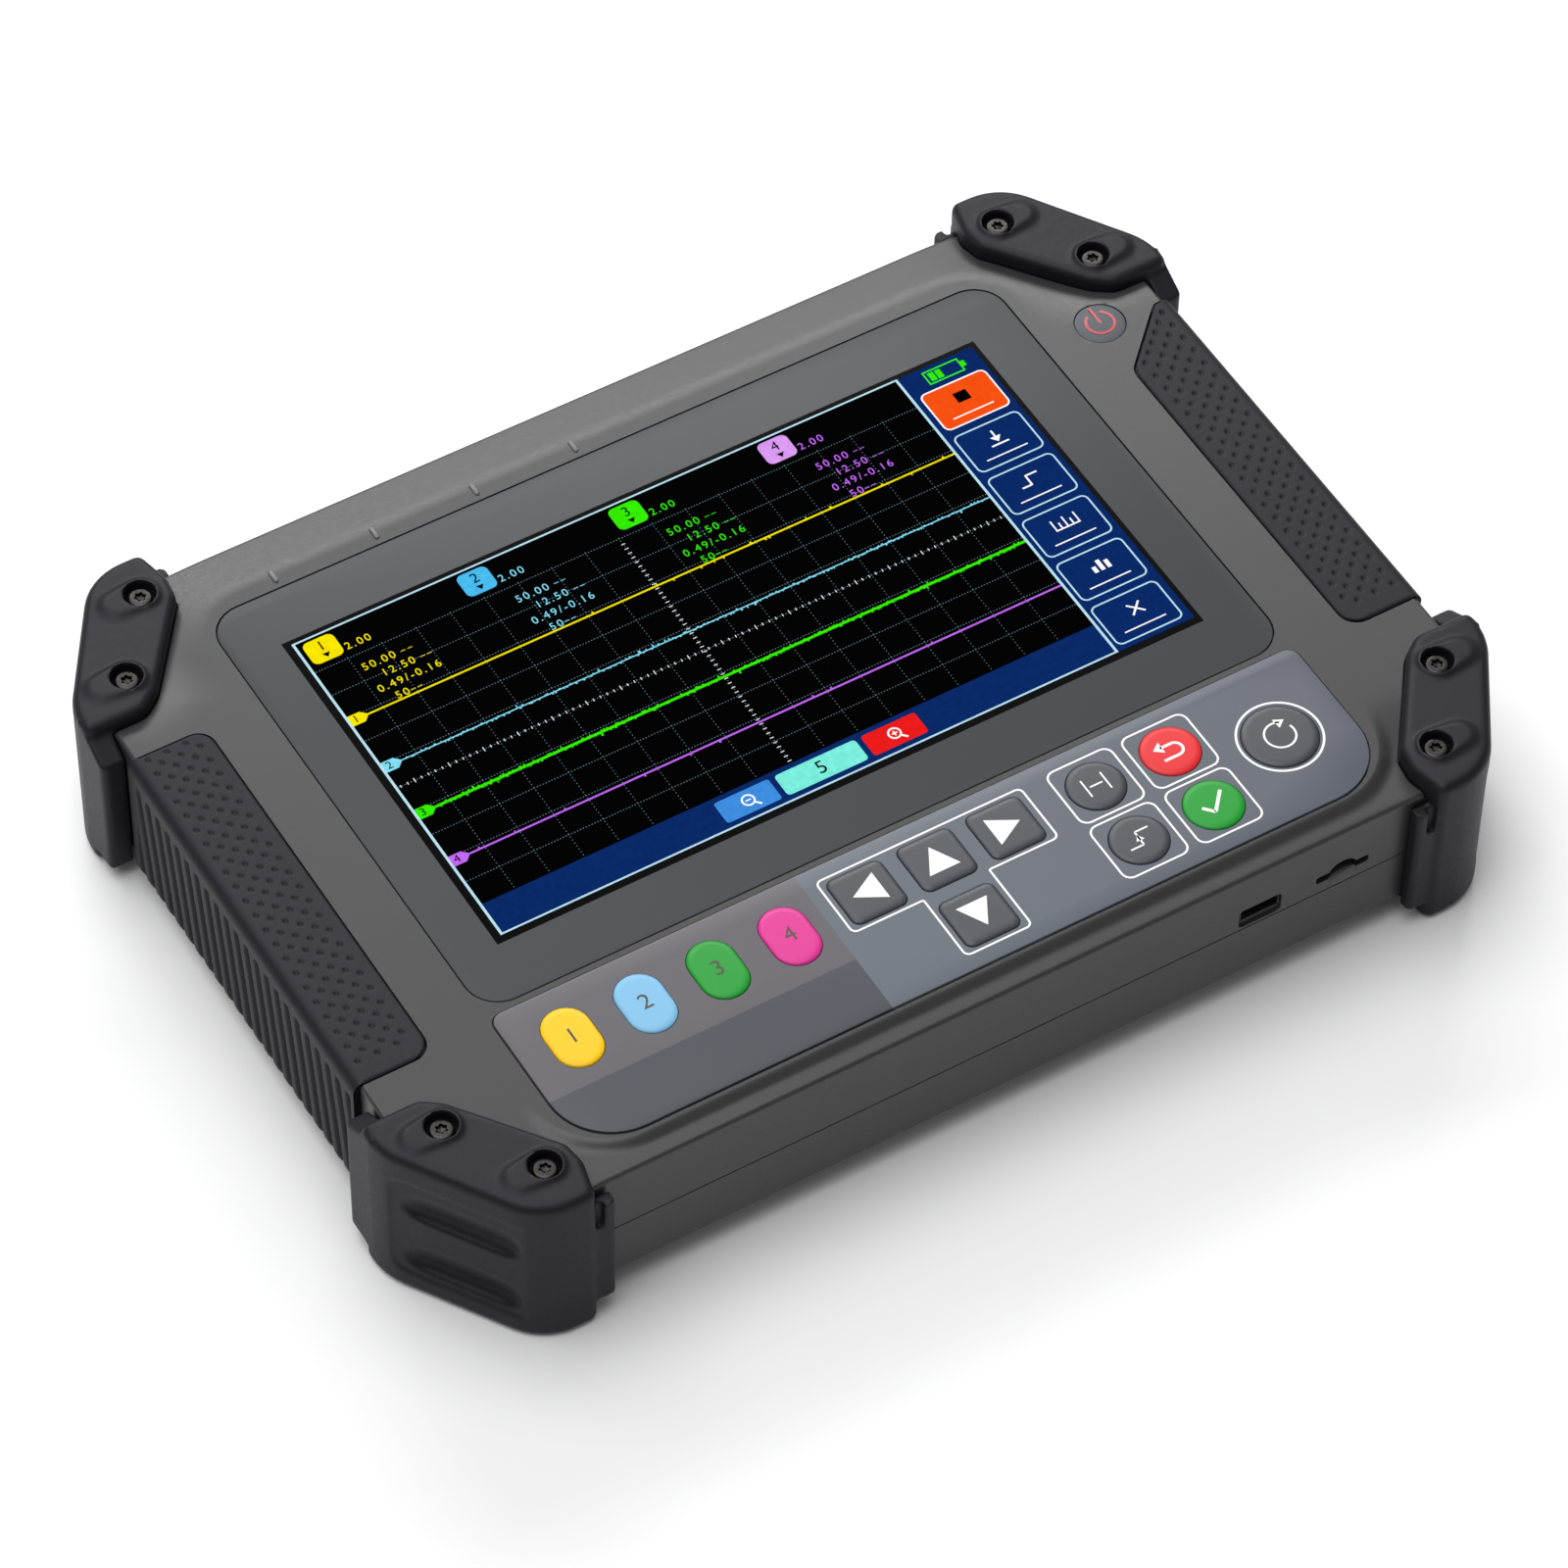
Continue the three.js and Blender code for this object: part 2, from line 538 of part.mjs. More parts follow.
// The rear panel that the sockets are fastened to.
function inputPanel() {
  const w = bay.halfWidth + 1;
  const body = block(-w, w, panel.y - panel.thick, panel.y, bay.bottom - 1, bay.top + 1);
  const holes = inputXs.map((x) => rodAlongY(inputs.bush + gap, panel.y - 5, panel.y + 1, x, inputs.z));
  const openings = [terminal, jack].map(({ x, halfWidth, halfHeight }) => block(
    x - halfWidth, x + halfWidth, panel.y - 5, panel.y + 1, inputs.z - halfHeight, inputs.z + halfHeight));
  return without(body, [...holes, ...openings]);
}

const inputXs = [0, 1, 2, 3].map((i) => inputs.first + inputs.pitch * i);

// A bayonet input socket: an open barrel round a centre contact, with two lugs and a round nut.
function inputSocket(x) {
  const y0 = panel.y + gap;
  const { length } = inputs;
  const profile = [
    [0, -9], [4.8, -9], [4.8, 0], [6, 0], [6, 2.2], [4.8, 2.2], [4.8, length - 0.4], [4.4, length],
    [4.05, length], [4.05, 2.6], [2.3, 2.6], [2.3, length - 3], [0, length - 3],
  ].map(([r, y]) => new THREE.Vector2(r, y));
  const geometry = new THREE.LatheGeometry(profile, 14);
  geometry.translate(x, y0, inputs.z);
  const lugs = rodAlongX(1, x - 5.5, x + 5.5, y0 + 7.4, inputs.z, 8).subtract(
    rodAlongX(2, x - 4.4, x + 4.4, y0 + 7.4, inputs.z, 8));
  return toSolid(geometry).add(lugs);
}

function dcJack() {
  const { x, halfWidth, mouth, pin } = jack;
  const reach = halfWidth - gap;
  const height = jack.halfHeight - gap;
  const body = block(x - reach, x + reach, panel.y - 10, panel.y + 0.6, inputs.z - height, inputs.z + height);
  const opening = rodAlongY(mouth, panel.y - 8, panel.y + 1, x, inputs.z, 12);
  return body.subtract(opening).add(rodAlongY(pin, panel.y - 9, panel.y - 0.5, x, inputs.z, 8));
}

function testTerminal() {
  const { x, halfWidth } = terminal;
  const reach = halfWidth - gap;
  const height = terminal.halfHeight - gap;
  const body = block(x - reach, x + reach, panel.y - 4, panel.y + 1.2, inputs.z - height, inputs.z + height);
  const tabs = centred.map((side) => {
    const z = inputs.z + side * 2.4;
    return block(x - 1.2, x + 1.2, panel.y, panel.y + 6, z - 0.4, z + 0.4);
  });
  return joined([body, ...tabs]);
}

function usbSocket() {
  const { x, z, width, height } = usb;
  const cell = (w, h, y0, y1) => block(x - w / 2, x + w / 2, y0, y1, z - h / 2, z + h / 2);
  const can = cell(width, height, -shell.y + 0.3, -shell.y + 7.6).subtract(
    cell(width - 0.6, height - 0.6, -shell.y - 1, -shell.y + 6.6));
  return can.add(cell(6.6, 0.7, -shell.y + 1.2, -shell.y + 7));
}

function cardSocket() {
  const { x, z } = card;
  const y0 = -shell.y + shell.wall + gap;
  const can = block(x - 7, x + 7, y0, y0 + 15, z - 1, z + 1);
  return can.subtract(block(x - 5.6, x + 5.6, y0 - 1, y0 + 13.6, z - 0.5, z + 0.5));
}

function portBoard() {
  return block(44, 86, -shell.y + shell.wall + 0.5, -shell.y + 22, 20.5, 22);
}

function mainBoard() {
  const { x, waist, y0, y1, ear, bottom, thick } = board;
  const top = bottom + thick;
  const sheet = [block(-x, x, -ear, ear, bottom, top), block(-waist, waist, y0, y1, bottom, top)];
  const chips = [
    [-20, 8, -6, 18, 1.6], [20, 40, -8, 10, 1.4], [50, 62, 0, 12, 1.2], [-60, -44, 0, 14, 1.8],
    [-84, -66, -40, -26, 3], [60, 78, -50, -34, 3], [-40, -32, -40, -30, 2.4], [10, 26, -44, -36, 2],
  ].map(([a, b, c, d, height]) => block(a, b, c, d, top - 0.5, top + height));
  return joined([...sheet, ...chips]);
}

// A drawn steel can, open below, over the analogue input stage.
function shieldCan() {
  const z0 = board.bottom + board.thick + gap;
  const can = block(-82, 8, 38, 63, z0, z0 + 6);
  return can.subtract(block(-81.4, 7.4, 38.6, 62.4, z0 - 1, z0 + 5.4));
}

function heatSpreader() {
  const z0 = board.bottom + board.thick + 1.8 + gap;
  return block(-64, 66, -12, 22, z0, z0 + 2);
}

function speaker() {
  return rod(9, 20.4, 24.4, -84, 10, 12).subtract(rod(6, 23.4, 25, -84, 10, 12));
}

function batteryPack() {
  const plan = rectangle(battery.width, battery.depth, 3, 0, cover.y);
  return prism(plan, shell.bottom + cover.thick + gap, battery.top - gap, { chamfer: 0.8 });
}

function batteryCover() {
  const z1 = shell.bottom + cover.thick;
  const sheet = prism(rectangle(cover.width, cover.depth, 4, 0, cover.y), shell.bottom, z1, { chamfer: 0.3 });
  const bores = centred.flatMap((side) => {
    const x = side * (cover.width / 2 - 4);
    return [rod(1.25 + gap, 0, 9, x, cover.y, 8), rod(2.6, 0, shell.bottom + 1.3, x, cover.y)];
  });
  return without(sheet, bores);
}

function coverScrew(x) {
  const z = shell.bottom;
  const profile = [[0, 0.9], [1, 0.9], [1, 0.1], [2.2, 0.1], [2.2, 1], [1.2, 1], [1.2, 5.6], [0, 5.6]]
    .map(([r, h]) => new THREE.Vector2(r, z + h));
  const geometry = new THREE.LatheGeometry(profile, 8);
  geometry.rotateX(Math.PI / 2);
  geometry.translate(x, cover.y, 0);
  return toSolid(geometry);
}

// The folding stand: a plate on a hinge barrel.
function standPlate() {
  const { halfWidth: w, hingeY, hingeZ, tipY, thick, barrel, pin } = stand;
  const z0 = shell.bottom;
  const plan = outline([[-w, hingeY + 1.5, 0], [w, hingeY + 1.5, 0], [w, tipY, 4], [-w, tipY, 4]]);
  const leaf = prism(plan, z0, z0 + thick);
  const round = rodAlongX(barrel, -w, w, hingeY, hingeZ, 16);
  const hole = rodAlongX(pin + gap, -w - 1, w + 1, hingeY, hingeZ, 12);
  const window = prism(rectangle(70, 16, 4, 0, hingeY + 20), 0, 9);
  return leaf.add(round).subtract(hole).subtract(window);
}

function standPin() {
  return rodAlongX(stand.pin, -stand.halfWidth - 4.5, stand.halfWidth + 4.5, stand.hingeY, stand.hingeZ, 12);
}

// The assembly.
const assembly = new THREE.Group();

function place(name, finish, solid) {
  const mesh = new THREE.Mesh(toGeometry(solid), new THREE.MeshStandardMaterial(finishes[finish]));
  mesh.name = name;
  assembly.add(mesh);
}

place('front_housing', 'shell', frontHousing());
place('rear_housing', 'shell', rearHousing());
place('display_window', 'glass', displayWindow());
place('lcd_gasket', 'foam', lcdGasket());
place('lcd_module', 'screen', lcdModule());
place('keypad_overlay', 'membrane', keypadOverlay());
keys.forEach((k) => place(k.name, k.finish, keySolid(k)));
place('key_board', 'board', keyBoard());
place('power_button', 'membrane', powerButton());
place('power_switch', 'charcoal', powerSwitch());
centred.forEach((sy) => centred.forEach((sx) => {
  const corner = `${sy < 0 ? 'front' : 'rear'}_${sx < 0 ? 'left' : 'right'}`;
  place(`guard_${corner}`, 'rubber', guardSolid(sx, sy));
  guardScrews.forEach(([x, y], i) => place(`screw_${corner}_${i + 1}`, 'steel', guardScrew(sx * x, sy * y)));
}));
place('grip_left', 'rubber', gripSolid(-1));
place('grip_right', 'rubber', gripSolid(1));
place('input_panel', 'shell', inputPanel());
inputXs.forEach((x, i) => place(`input_socket_${i + 1}`, 'nickel', inputSocket(x)));
place('dc_jack', 'charcoal', dcJack());
place('test_terminal', 'nickel', testTerminal());
place('usb_socket', 'steel', usbSocket());
place('card_socket', 'steel', cardSocket());
place('port_board', 'board', portBoard());
place('main_board', 'board', mainBoard());
place('input_shield', 'nickel', shieldCan());
place('heat_spreader', 'nickel', heatSpreader());
place('speaker', 'charcoal', speaker());
place('battery_pack', 'battery', batteryPack());
place('battery_cover', 'shell', batteryCover());
centred.forEach((side) => place(
  side < 0 ? 'cover_screw_left' : 'cover_screw_right', 'steel', coverScrew(side * (cover.width / 2 - 4))));
place('stand', 'shell', standPlate());
place('stand_pin', 'steel', standPin());

export default assembly;
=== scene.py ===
import math
import random

import bmesh
import bpy
from mathutils import Matrix, Vector


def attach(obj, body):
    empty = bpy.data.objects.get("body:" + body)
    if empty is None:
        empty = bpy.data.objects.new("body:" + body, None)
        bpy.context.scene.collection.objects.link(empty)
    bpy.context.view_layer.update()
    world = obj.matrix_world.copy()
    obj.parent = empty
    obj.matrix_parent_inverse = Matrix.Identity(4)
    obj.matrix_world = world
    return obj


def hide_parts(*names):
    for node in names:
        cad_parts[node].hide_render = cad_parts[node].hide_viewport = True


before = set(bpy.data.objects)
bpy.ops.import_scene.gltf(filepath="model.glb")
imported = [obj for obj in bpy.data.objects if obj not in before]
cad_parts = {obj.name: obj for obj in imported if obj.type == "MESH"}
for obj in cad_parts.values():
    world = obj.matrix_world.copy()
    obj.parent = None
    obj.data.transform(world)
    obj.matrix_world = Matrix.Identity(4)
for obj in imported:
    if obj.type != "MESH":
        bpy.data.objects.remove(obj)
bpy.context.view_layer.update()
scene = bpy.context.scene
scene.view_settings.view_transform = "Standard"  # screen colours stay as bright as a lit display
mm = 0.001
corners = {  # name in pieces: name in nodes, side, end
    "FrontLeft": ("front_left", -1, -1), "FrontRight": ("front_right", 1, -1),
    "RearLeft": ("rear_left", -1, 1), "RearRight": ("rear_right", 1, 1),
}


# Outlines are lists of (x, y) in millimetres, anticlockwise.

def around(x, y, radius, angle):  # a point on a circle
    return (x + radius * math.cos(angle), y + radius * math.sin(angle))


def roundOutline(cornerList, steps=8):
    points = []
    for i, (x, y, radius) in enumerate(cornerList):
        here = Vector((x, y))
        if radius <= 0:
            points.append((x, y))
            continue
        back = (Vector(cornerList[i - 1][:2]) - here).normalized()
        ahead = (Vector(cornerList[(i + 1) % len(cornerList)][:2]) - here).normalized()
        half = back.angle(ahead) / 2
        start = here + back * (radius / math.tan(half))
        centre = here + (back + ahead).normalized() * (radius / math.sin(half))
        turn = (math.pi - 2 * half) * (1 if back.cross(ahead) < 0 else -1)
        first = math.atan2(start.y - centre.y, start.x - centre.x)
        points += [around(centre.x, centre.y, radius, first + turn * k / steps) for k in range(steps + 1)]
    return points


def shiftOutline(points, distance):  # outwards when positive
    moved = []
    for i, here in enumerate(points):
        before = Vector(here) - Vector(points[i - 1])
        after = Vector(points[(i + 1) % len(points)]) - Vector(here)
        normalA = Vector((before.y, -before.x)).normalized()
        normalB = Vector((after.y, -after.x)).normalized()
        middle = (normalA + normalB).normalized()
        reach = distance / max(middle.dot(normalA), 0.4)
        moved.append((here[0] + middle.x * reach, here[1] + middle.y * reach))
    return moved


def rectangle(width, height, radius, x=0, y=0, steps=8):
    w, h = width / 2, height / 2
    return roundOutline([(x + a, y + b, radius) for a, b in ((-w, -h), (w, -h), (w, h), (-w, h))], steps)


def circle(radius, x=0, y=0, count=32):
    return [around(x, y, radius, 2 * math.pi * i / count) for i in range(count)]


def mirrored(points, sx, sy):
    flipped = [(sx * x, sy * y) for x, y in points]
    return flipped if sx * sy > 0 else flipped[::-1]


def densify(points, gapSize):
    dense = []
    for i, here in enumerate(points):
        there = points[(i + 1) % len(points)]
        count = max(1, int(math.dist(here, there) / gapSize))
        dense += [tuple(a + (b - a) * k / count for a, b in zip(here, there)) for k in range(count)]
    return dense


# Pieces are made from points in millimetres.

def makePiece(name, points, faces, finish, sharp=35):
    mesh = bpy.data.meshes.new(name)
    mesh.from_pydata([(x * mm, y * mm, z * mm) for x, y, z in points], [], faces)
    mesh.validate()
    piece = bpy.data.objects.new(name, mesh)
    scene.collection.objects.link(piece)
    if finish:
        mesh.materials.append(finish)
    smoothPiece(piece, sharp)
    return piece


def smoothPiece(piece, sharp=35):
    piece.data.shade_smooth()
    piece.data.set_sharp_from_angle(angle=math.radians(sharp))


def stackRings(name, rings, finish=None, caps=True, sharp=35):  # first ring lowest, all anticlockwise
    count = len(rings[0])
    points = [point for ring in rings for point in ring]
    faces = []
    for low in range(0, (len(rings) - 1) * count, count):
        for i in range(count):
            j = (i + 1) % count
            faces.append((low + i, low + j, low + count + j, low + count + i))
    if caps:
        faces += [tuple(range(count))[::-1], tuple(range(len(points) - count, len(points)))]
    return makePiece(name, points, faces, finish, sharp)


def atHeight(points, z):
    return [(x, y, z) for x, y in points]


def roundedSlab(name, points, z0, z1, top=0, bottom=0, finish=None, steps=4, sharp=35):
    rings = []
    for k in range(steps if bottom else 0):
        angle = math.pi / 2 * k / steps
        inner = shiftOutline(points, -bottom * (1 - math.sin(angle)))
        rings.append(atHeight(inner, z0 + bottom * (1 - math.cos(angle))))
    rings += [atHeight(points, z0 + bottom), atHeight(points, z1 - top)]
    for k in range(1, steps + 1 if top else 0):
        angle = math.pi / 2 * k / steps
        inner = shiftOutline(points, -top * (1 - math.cos(angle)))
        rings.append(atHeight(inner, z1 - top * (1 - math.sin(angle))))
    return stackRings(name, rings, finish, sharp=sharp)


def settle(piece):  # applies the modifiers
    bpy.context.view_layer.update()
    depsgraph = bpy.context.evaluated_depsgraph_get()
    mesh = bpy.data.meshes.new_from_object(piece.evaluated_get(depsgraph))
    piece.modifiers.clear()
    piece.data = mesh
    return piece


def joinBodies(piece, others, operation):
    for other in others:
        modifier = piece.modifiers.new("shape", "BOOLEAN")
        modifier.operation = operation
        modifier.solver = "EXACT"
        modifier.object = other
    settle(piece)
    for other in others:
        bpy.data.objects.remove(other)
    return piece


def cutAway(piece, cutters):
    return joinBodies(piece, cutters, "DIFFERENCE")


def addBevel(piece, width, angle):  # a moulded part has no knife edge
    bevel = piece.modifiers.new("broken edges", "BEVEL")
    bevel.width = width * mm
    bevel.segments = 2
    bevel.limit_method = "ANGLE"
    bevel.angle_limit = math.radians(angle)
    return bevel


def breakEdges(piece, width):
    addBevel(piece, width, 38).miter_outer = "MITER_ARC"
    settle(piece)
    smoothPiece(piece, 50)
    piece.modifiers.new("flat faces stay flat", "WEIGHTED_NORMAL").keep_sharp = True
    return settle(piece)


def facingOut(piece):
    shape = bmesh.new()
    shape.from_mesh(piece.data)
    bmesh.ops.recalc_face_normals(shape, faces=shape.faces)
    shape.to_mesh(piece.data)
    shape.free()
    return piece


def copyMirrored(piece, name, sx, sy):
    copy = bpy.data.objects.new(name, piece.data.copy())
    scene.collection.objects.link(copy)
    copy.data.transform(Matrix.Diagonal((sx, sy, 1, 1)))
    if sx * sy < 0:
        copy.data.flip_normals()
    smoothPiece(copy, 50)
    return copy


def mount(piece, body, slot, *standsFor):
    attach(piece, body)
    if standsFor:
        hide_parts(*standsFor)
    return piece


# Materials.

def linear(colour):
    channels = [int(colour[i:i + 2], 16) / 255 for i in (1, 3, 5)]
    return tuple(c / 12.92 if c <= 0.04045 else ((c + 0.055) / 1.055) ** 2.4 for c in channels) + (1,)


def addNode(tree, kind, settings=None, links=None):
    node = tree.nodes.new(kind)
    for key, value in (settings or {}).items():
        if isinstance(key, int) or key in node.inputs:
            node.inputs[key].default_value = value
        else:
            setattr(node, key, value)
    for key, socket in (links or {}).items():
        tree.links.new(socket, node.inputs[key])
    return node


def startMaterial(name, settings):
    material = bpy.data.materials.new(name)
    material.use_nodes = True
    tree = material.node_tree
    tree.nodes.clear()
    shader = addNode(tree, "ShaderNodeBsdfPrincipled", settings)
    addNode(tree, "ShaderNodeOutputMaterial", None, {"Surface": shader.outputs[0]})
    place = addNode(tree, "ShaderNodeTexCoord").outputs["Object"]
    return material, tree, shader, place


def grained(name, colour, roughness, grain=0.8, depth=0.02, cloud=0.08, spread=0.08, **settings):
    # colour and roughness vary a little, and a grain of the given size in mm stands up by depth in mm
    material, tree, shader, place = startMaterial(name, {"Roughness": roughness, **settings})
    base = linear(colour)
    clouds = addNode(tree, "ShaderNodeTexNoise", {"Scale": 45, "Detail": 3.0}, {"Vector": place})
    lighter = tuple(min(1, c * (1 + cloud)) for c in base[:3]) + (1,)
    darker = tuple(c * (1 - cloud) for c in base[:3]) + (1,)
    tone = addNode(tree, "ShaderNodeMix", {"data_type": "RGBA", 6: darker, 7: lighter}, {0: clouds.outputs[0]})
    tree.links.new(tone.outputs[2], shader.inputs["Base Color"])
    fine = addNode(tree, "ShaderNodeTexNoise", {"Scale": 1 / (grain * mm), "Detail": 2.0}, {"Vector": place})
    limits = {3: roughness - spread, 4: roughness + spread}
    gloss = addNode(tree, "ShaderNodeMapRange", limits, {0: fine.outputs[0]})
    tree.links.new(gloss.outputs[0], shader.inputs["Roughness"])
    bump = {"Strength": 0.5, "Distance": depth * mm}
    relief = addNode(tree, "ShaderNodeBump", bump, {"Height": fine.outputs[0]})
    tree.links.new(relief.outputs[0], shader.inputs["Normal"])
    return material


print("materials")
# spark-eroded ABS and polycarbonate: satin, a fine even grain that softens the highlights
sparkAbs = grained("spark eroded abs", "#333233", 0.36, 0.7, 0.02, 0.03, **{"Specular IOR Level": 0.42})
# the same plastic on the parts one sees from behind and below, painted a shade lighter there: lighter paint standing
# in for the light these parts miss
sparkAbsLightenedForShade = grained("spark eroded abs lightened for shade", "#3b3a3b", 0.5, 0.7, 0.03, 0.05, IOR=1.53)
# moulded thermoplastic rubber: deep blue-black, matte, a soft sheen on its rounded edges
softSheen = {"Specular IOR Level": 0.24, "Specular Tint": linear("#f4f3ff")}
guardRubber = grained("moulded rubber", "#17171d", 0.5, 0.9, 0.02, 0.05, **softSheen)
gripRubber = grained("dimpled rubber", "#18181e", 0.54, 0.7, 0.03, 0.05, **softSheen)
# hard-coated acrylic, printed grey behind: flat colour under a smooth, slightly hazed face
dull = {"Specular IOR Level": 0.12}
printedAcrylic = grained("printed acrylic", "#46474a", 0.34, 2.0, 0.002, 0.012, 0.03, **dull)
# screen-printed border round the display: the deepest black, with next to no gloss
blackPrint = grained("black print", "#020202", 0.3, 1.2, 0.002, 0.05, 0.03, **{"Specular IOR Level": 0.03})
# closed-cell foam: dull, with a soft coarse grain
foam = grained("closed cell foam", "#171718", 0.9, 0.5, 0.1, 0.2)
# rolled steel sheet, the back of the display: grey and half bright
lcdBack = grained("display module steel", "#85868a", 0.35, 0.6, 0.01, 0.05, Metallic=1.0)
# silicone keys with a satin sprayed coat: strong colour under a broad soft highlight
satin = {"Specular IOR Level": 0.3}
keyColour = {"yellow": "#efbd00", "sky": "#79b2d6", "green": "#14922a", "pink": "#d02d8a", "red": "#d8262b"}
keyFinish = {key: grained(f"{key} keycap", hue, 0.4, 0.6, 0.01, 0.02, **satin)
             for key, hue in keyColour.items()}
keyFinish["charcoal"] = grained("charcoal keycap", "#383a41", 0.42, 0.6, 0.015, 0.04)
# screen-printed inks: flat, even and a little rough
whiteInk = grained("white ink", "#e9e9ea", 0.45, 0.5, 0.003, 0.02)
darkInk = grained("dark ink", "#3a3328", 0.45, 0.5, 0.003, 0.05)
redInk = grained("red ink", "#b43c44", 0.4, 0.5, 0.003, 0.04)
# moulded silicone without a coat: greyer and duller than the keys
buttonSilicone = grained("grey silicone", "#4d5258", 0.5, 0.6, 0.01, 0.04, **satin)
# moulded ABS painted paler than the housing for the small raised marks: a painted highlight for the light their
# raised faces catch
paleAbsPaintedHighlight = grained("pale abs painted highlight", "#5b5a5c", 0.4, 0.7, 0.01, 0.03)
# glass-filled nylon: near black, faintly mottled
blackNylon = grained("black nylon", "#19191b", 0.45, 0.7, 0.02, 0.08)
# blackened steel: dark, with an uneven, half-bright glint
darkSteel = grained("blackened steel", "#3a3938", 0.36, 0.4, 0.02, 0.2, 0.1, Metallic=1.0)
# bright nickel on brass: warm and mirror-like, hazed a little by handling
brightNickel = grained("bright nickel", "#cfc9bd", 0.2, 0.8, 0.004, 0.05, 0.06, Metallic=1.0)
# stamped, tinned and rolled sheet metals: pale, half bright and a little cloudy
stampedSteel = grained("stamped steel", "#a9a9a8", 0.32, 0.5, 0.01, 0.08, 0.08, Metallic=1.0)
tinPlate = grained("tin plate", "#bcbbb4", 0.34, 1.5, 0.01, 0.08, 0.08, Metallic=1.0)
millAluminium = grained("mill aluminium", "#b4b6b9", 0.4, 0.6, 0.01, 0.06, 0.08, Metallic=1.0)
# heat-shrunk film and lacquered board: thin, glossy skins over what they cover
shrinkWrap = grained("shrink wrap", "#2c4a7a", 0.3, 3.0, 0.05, 0.06, 0.05)
solderMask = grained("solder mask", "#1c5a38", 0.3, 1.0, 0.01, 0.1, 0.05)


def overlayPrint():  # textured polyester, printed below in three greys that meet on straight lines; the right-hand grey also darkens smoothly towards the right end
    zone = {"split": -23.25, "band": -65.3, "end": 89,
            "left": "#57555a", "front": "#40404a", "right": "#5b626b", "far right": "#545862"}
    gloss = {"Roughness": 0.42, "Specular IOR Level": 0.35}
    material, tree, shader, place = startMaterial("textured polyester overlay", gloss)
    axes = addNode(tree, "ShaderNodeSeparateXYZ", None, {0: place})
    over = {"operation": "GREATER_THAN"}
    isRight = addNode(tree, "ShaderNodeMath", {**over, 1: zone["split"] * mm}, {0: axes.outputs[0]})
    isRear = addNode(tree, "ShaderNodeMath", {**over, 1: zone["band"] * mm}, {0: axes.outputs[1]})
    span = {1: zone["split"] * mm, 2: zone["end"] * mm, 3: 0.0, 4: 1.0}
    across = addNode(tree, "ShaderNodeMapRange", span, {0: axes.outputs[0]})

    def mixed(settings, links):
        return addNode(tree, "ShaderNodeMix", {"data_type": "RGBA", **settings}, links)
    left = mixed({6: linear(zone["front"]), 7: linear(zone["left"])}, {0: isRear.outputs[0]})
    right = mixed({6: linear(zone["right"]), 7: linear(zone["far right"])}, {0: across.outputs[0]})
    tone = mixed({}, {0: isRight.outputs[0], 6: left.outputs[2], 7: right.outputs[2]})
    tree.links.new(tone.outputs[2], shader.inputs["Base Color"])
    grain = addNode(tree, "ShaderNodeTexNoise", {"Scale": 2200.0, "Detail": 1.0}, {"Vector": place})
    bump = {"Strength": 0.4, "Distance": 0.01 * mm}
    relief = addNode(tree, "ShaderNodeBump", bump, {"Height": grain.outputs[0]})
    tree.links.new(relief.outputs[0], shader.inputs["Normal"])
    return material


def litDisplay(name, colour, strength=1.0):  # it glows by itself and wavers a little in strength
    unlit = {"Base Color": (0, 0, 0, 1), "Roughness": 0.3, "Specular IOR Level": 0.0}
    material, tree, shader, place = startMaterial(name, {**unlit, "Emission Strength": strength})
    base = linear(colour)
    dim = tuple(c * 0.86 for c in base[:3]) + (1,)
    bright = tuple(min(1, c * 1.1) for c in base[:3]) + (1,)
    waver = addNode(tree, "ShaderNodeTexNoise", {"Scale": 900.0, "Detail": 0.0}, {"Vector": place})
    tone = addNode(tree, "ShaderNodeMix", {"data_type": "RGBA", 6: dim, 7: bright}, {0: waver.outputs[0]})
    tree.links.new(tone.outputs[2], shader.inputs["Emission Color"])
    return material


overlayFilm = overlayPrint()
print("housing")
chamferX, chamferY = 18.5, 28.5
slant = [(122.5, 89 - chamferY), (122.5 - chamferX, 89)]  # ends of a guard's slanted outer face
deck = {
    "halfX": 117, "halfY": 85, "slantWall": 4.5, "top": 37, "parting": 20.15, "edge": 0.9,
    "plateauX": 91.5, "plateauRear": 72.3, "plateauFront": -79.2, "rearRadius": 12, "frontRadius": 15,
    "rearSlope": 0.175, "crestWidth": 3.4, "frontDrop": 1.3, "frontWidth": 2.8,
    "rays": [1, 0.8, 0.62, 0.5, 0.42, 0.36, 0.3, 0.25, 0.2, 0.16, 0.12, 0.08, 0.04, 0],
}
guardPlan = [
    (92.6, 89, 1.9), (90.7, 81, 3), (91.4, 76, 3.5), (105.8, 56.8, 5), (109.9, 53.6, 4.5),
    (122.5, 53.6, 1.9), slant[0] + (15,), slant[1] + (13,),
]


def shellPlan(inset=0, radius=2.0, steps=3):
    length = math.hypot(chamferX, chamferY)
    normal = (chamferY / length, chamferX / length)
    reach = normal[0] * slant[0][0] + normal[1] * slant[0][1] - deck["slantWall"] - inset
    x, y = deck["halfX"] - inset, deck["halfY"] - inset
    quarter = [(x, (reach - normal[0] * x) / normal[1]), ((reach - normal[1] * y) / normal[0], y)]
    half = quarter + [(-a, b) for a, b in quarter[::-1]]
    return roundOutline([(a, b, radius) for a, b in half + [(-a, -b) for a, b in half]], steps)


def smooth(value):
    value = min(max(value, 0), 1)
    return value * value * (3 - 2 * value)


def deckHeight(x, y, outside):  # the deck falls away behind the window and steps down before the keypad
    crest = deck["crestWidth"]
    fall = outside ** 2 / (2 * crest) if outside < crest else outside - crest / 2
    rear = deck["rearSlope"] * fall * smooth((y - 50) / 22)
    front = deck["frontDrop"] * smooth(outside / deck["frontWidth"]) * smooth((-y - 62) / 16)
    return deck["top"] - rear - front


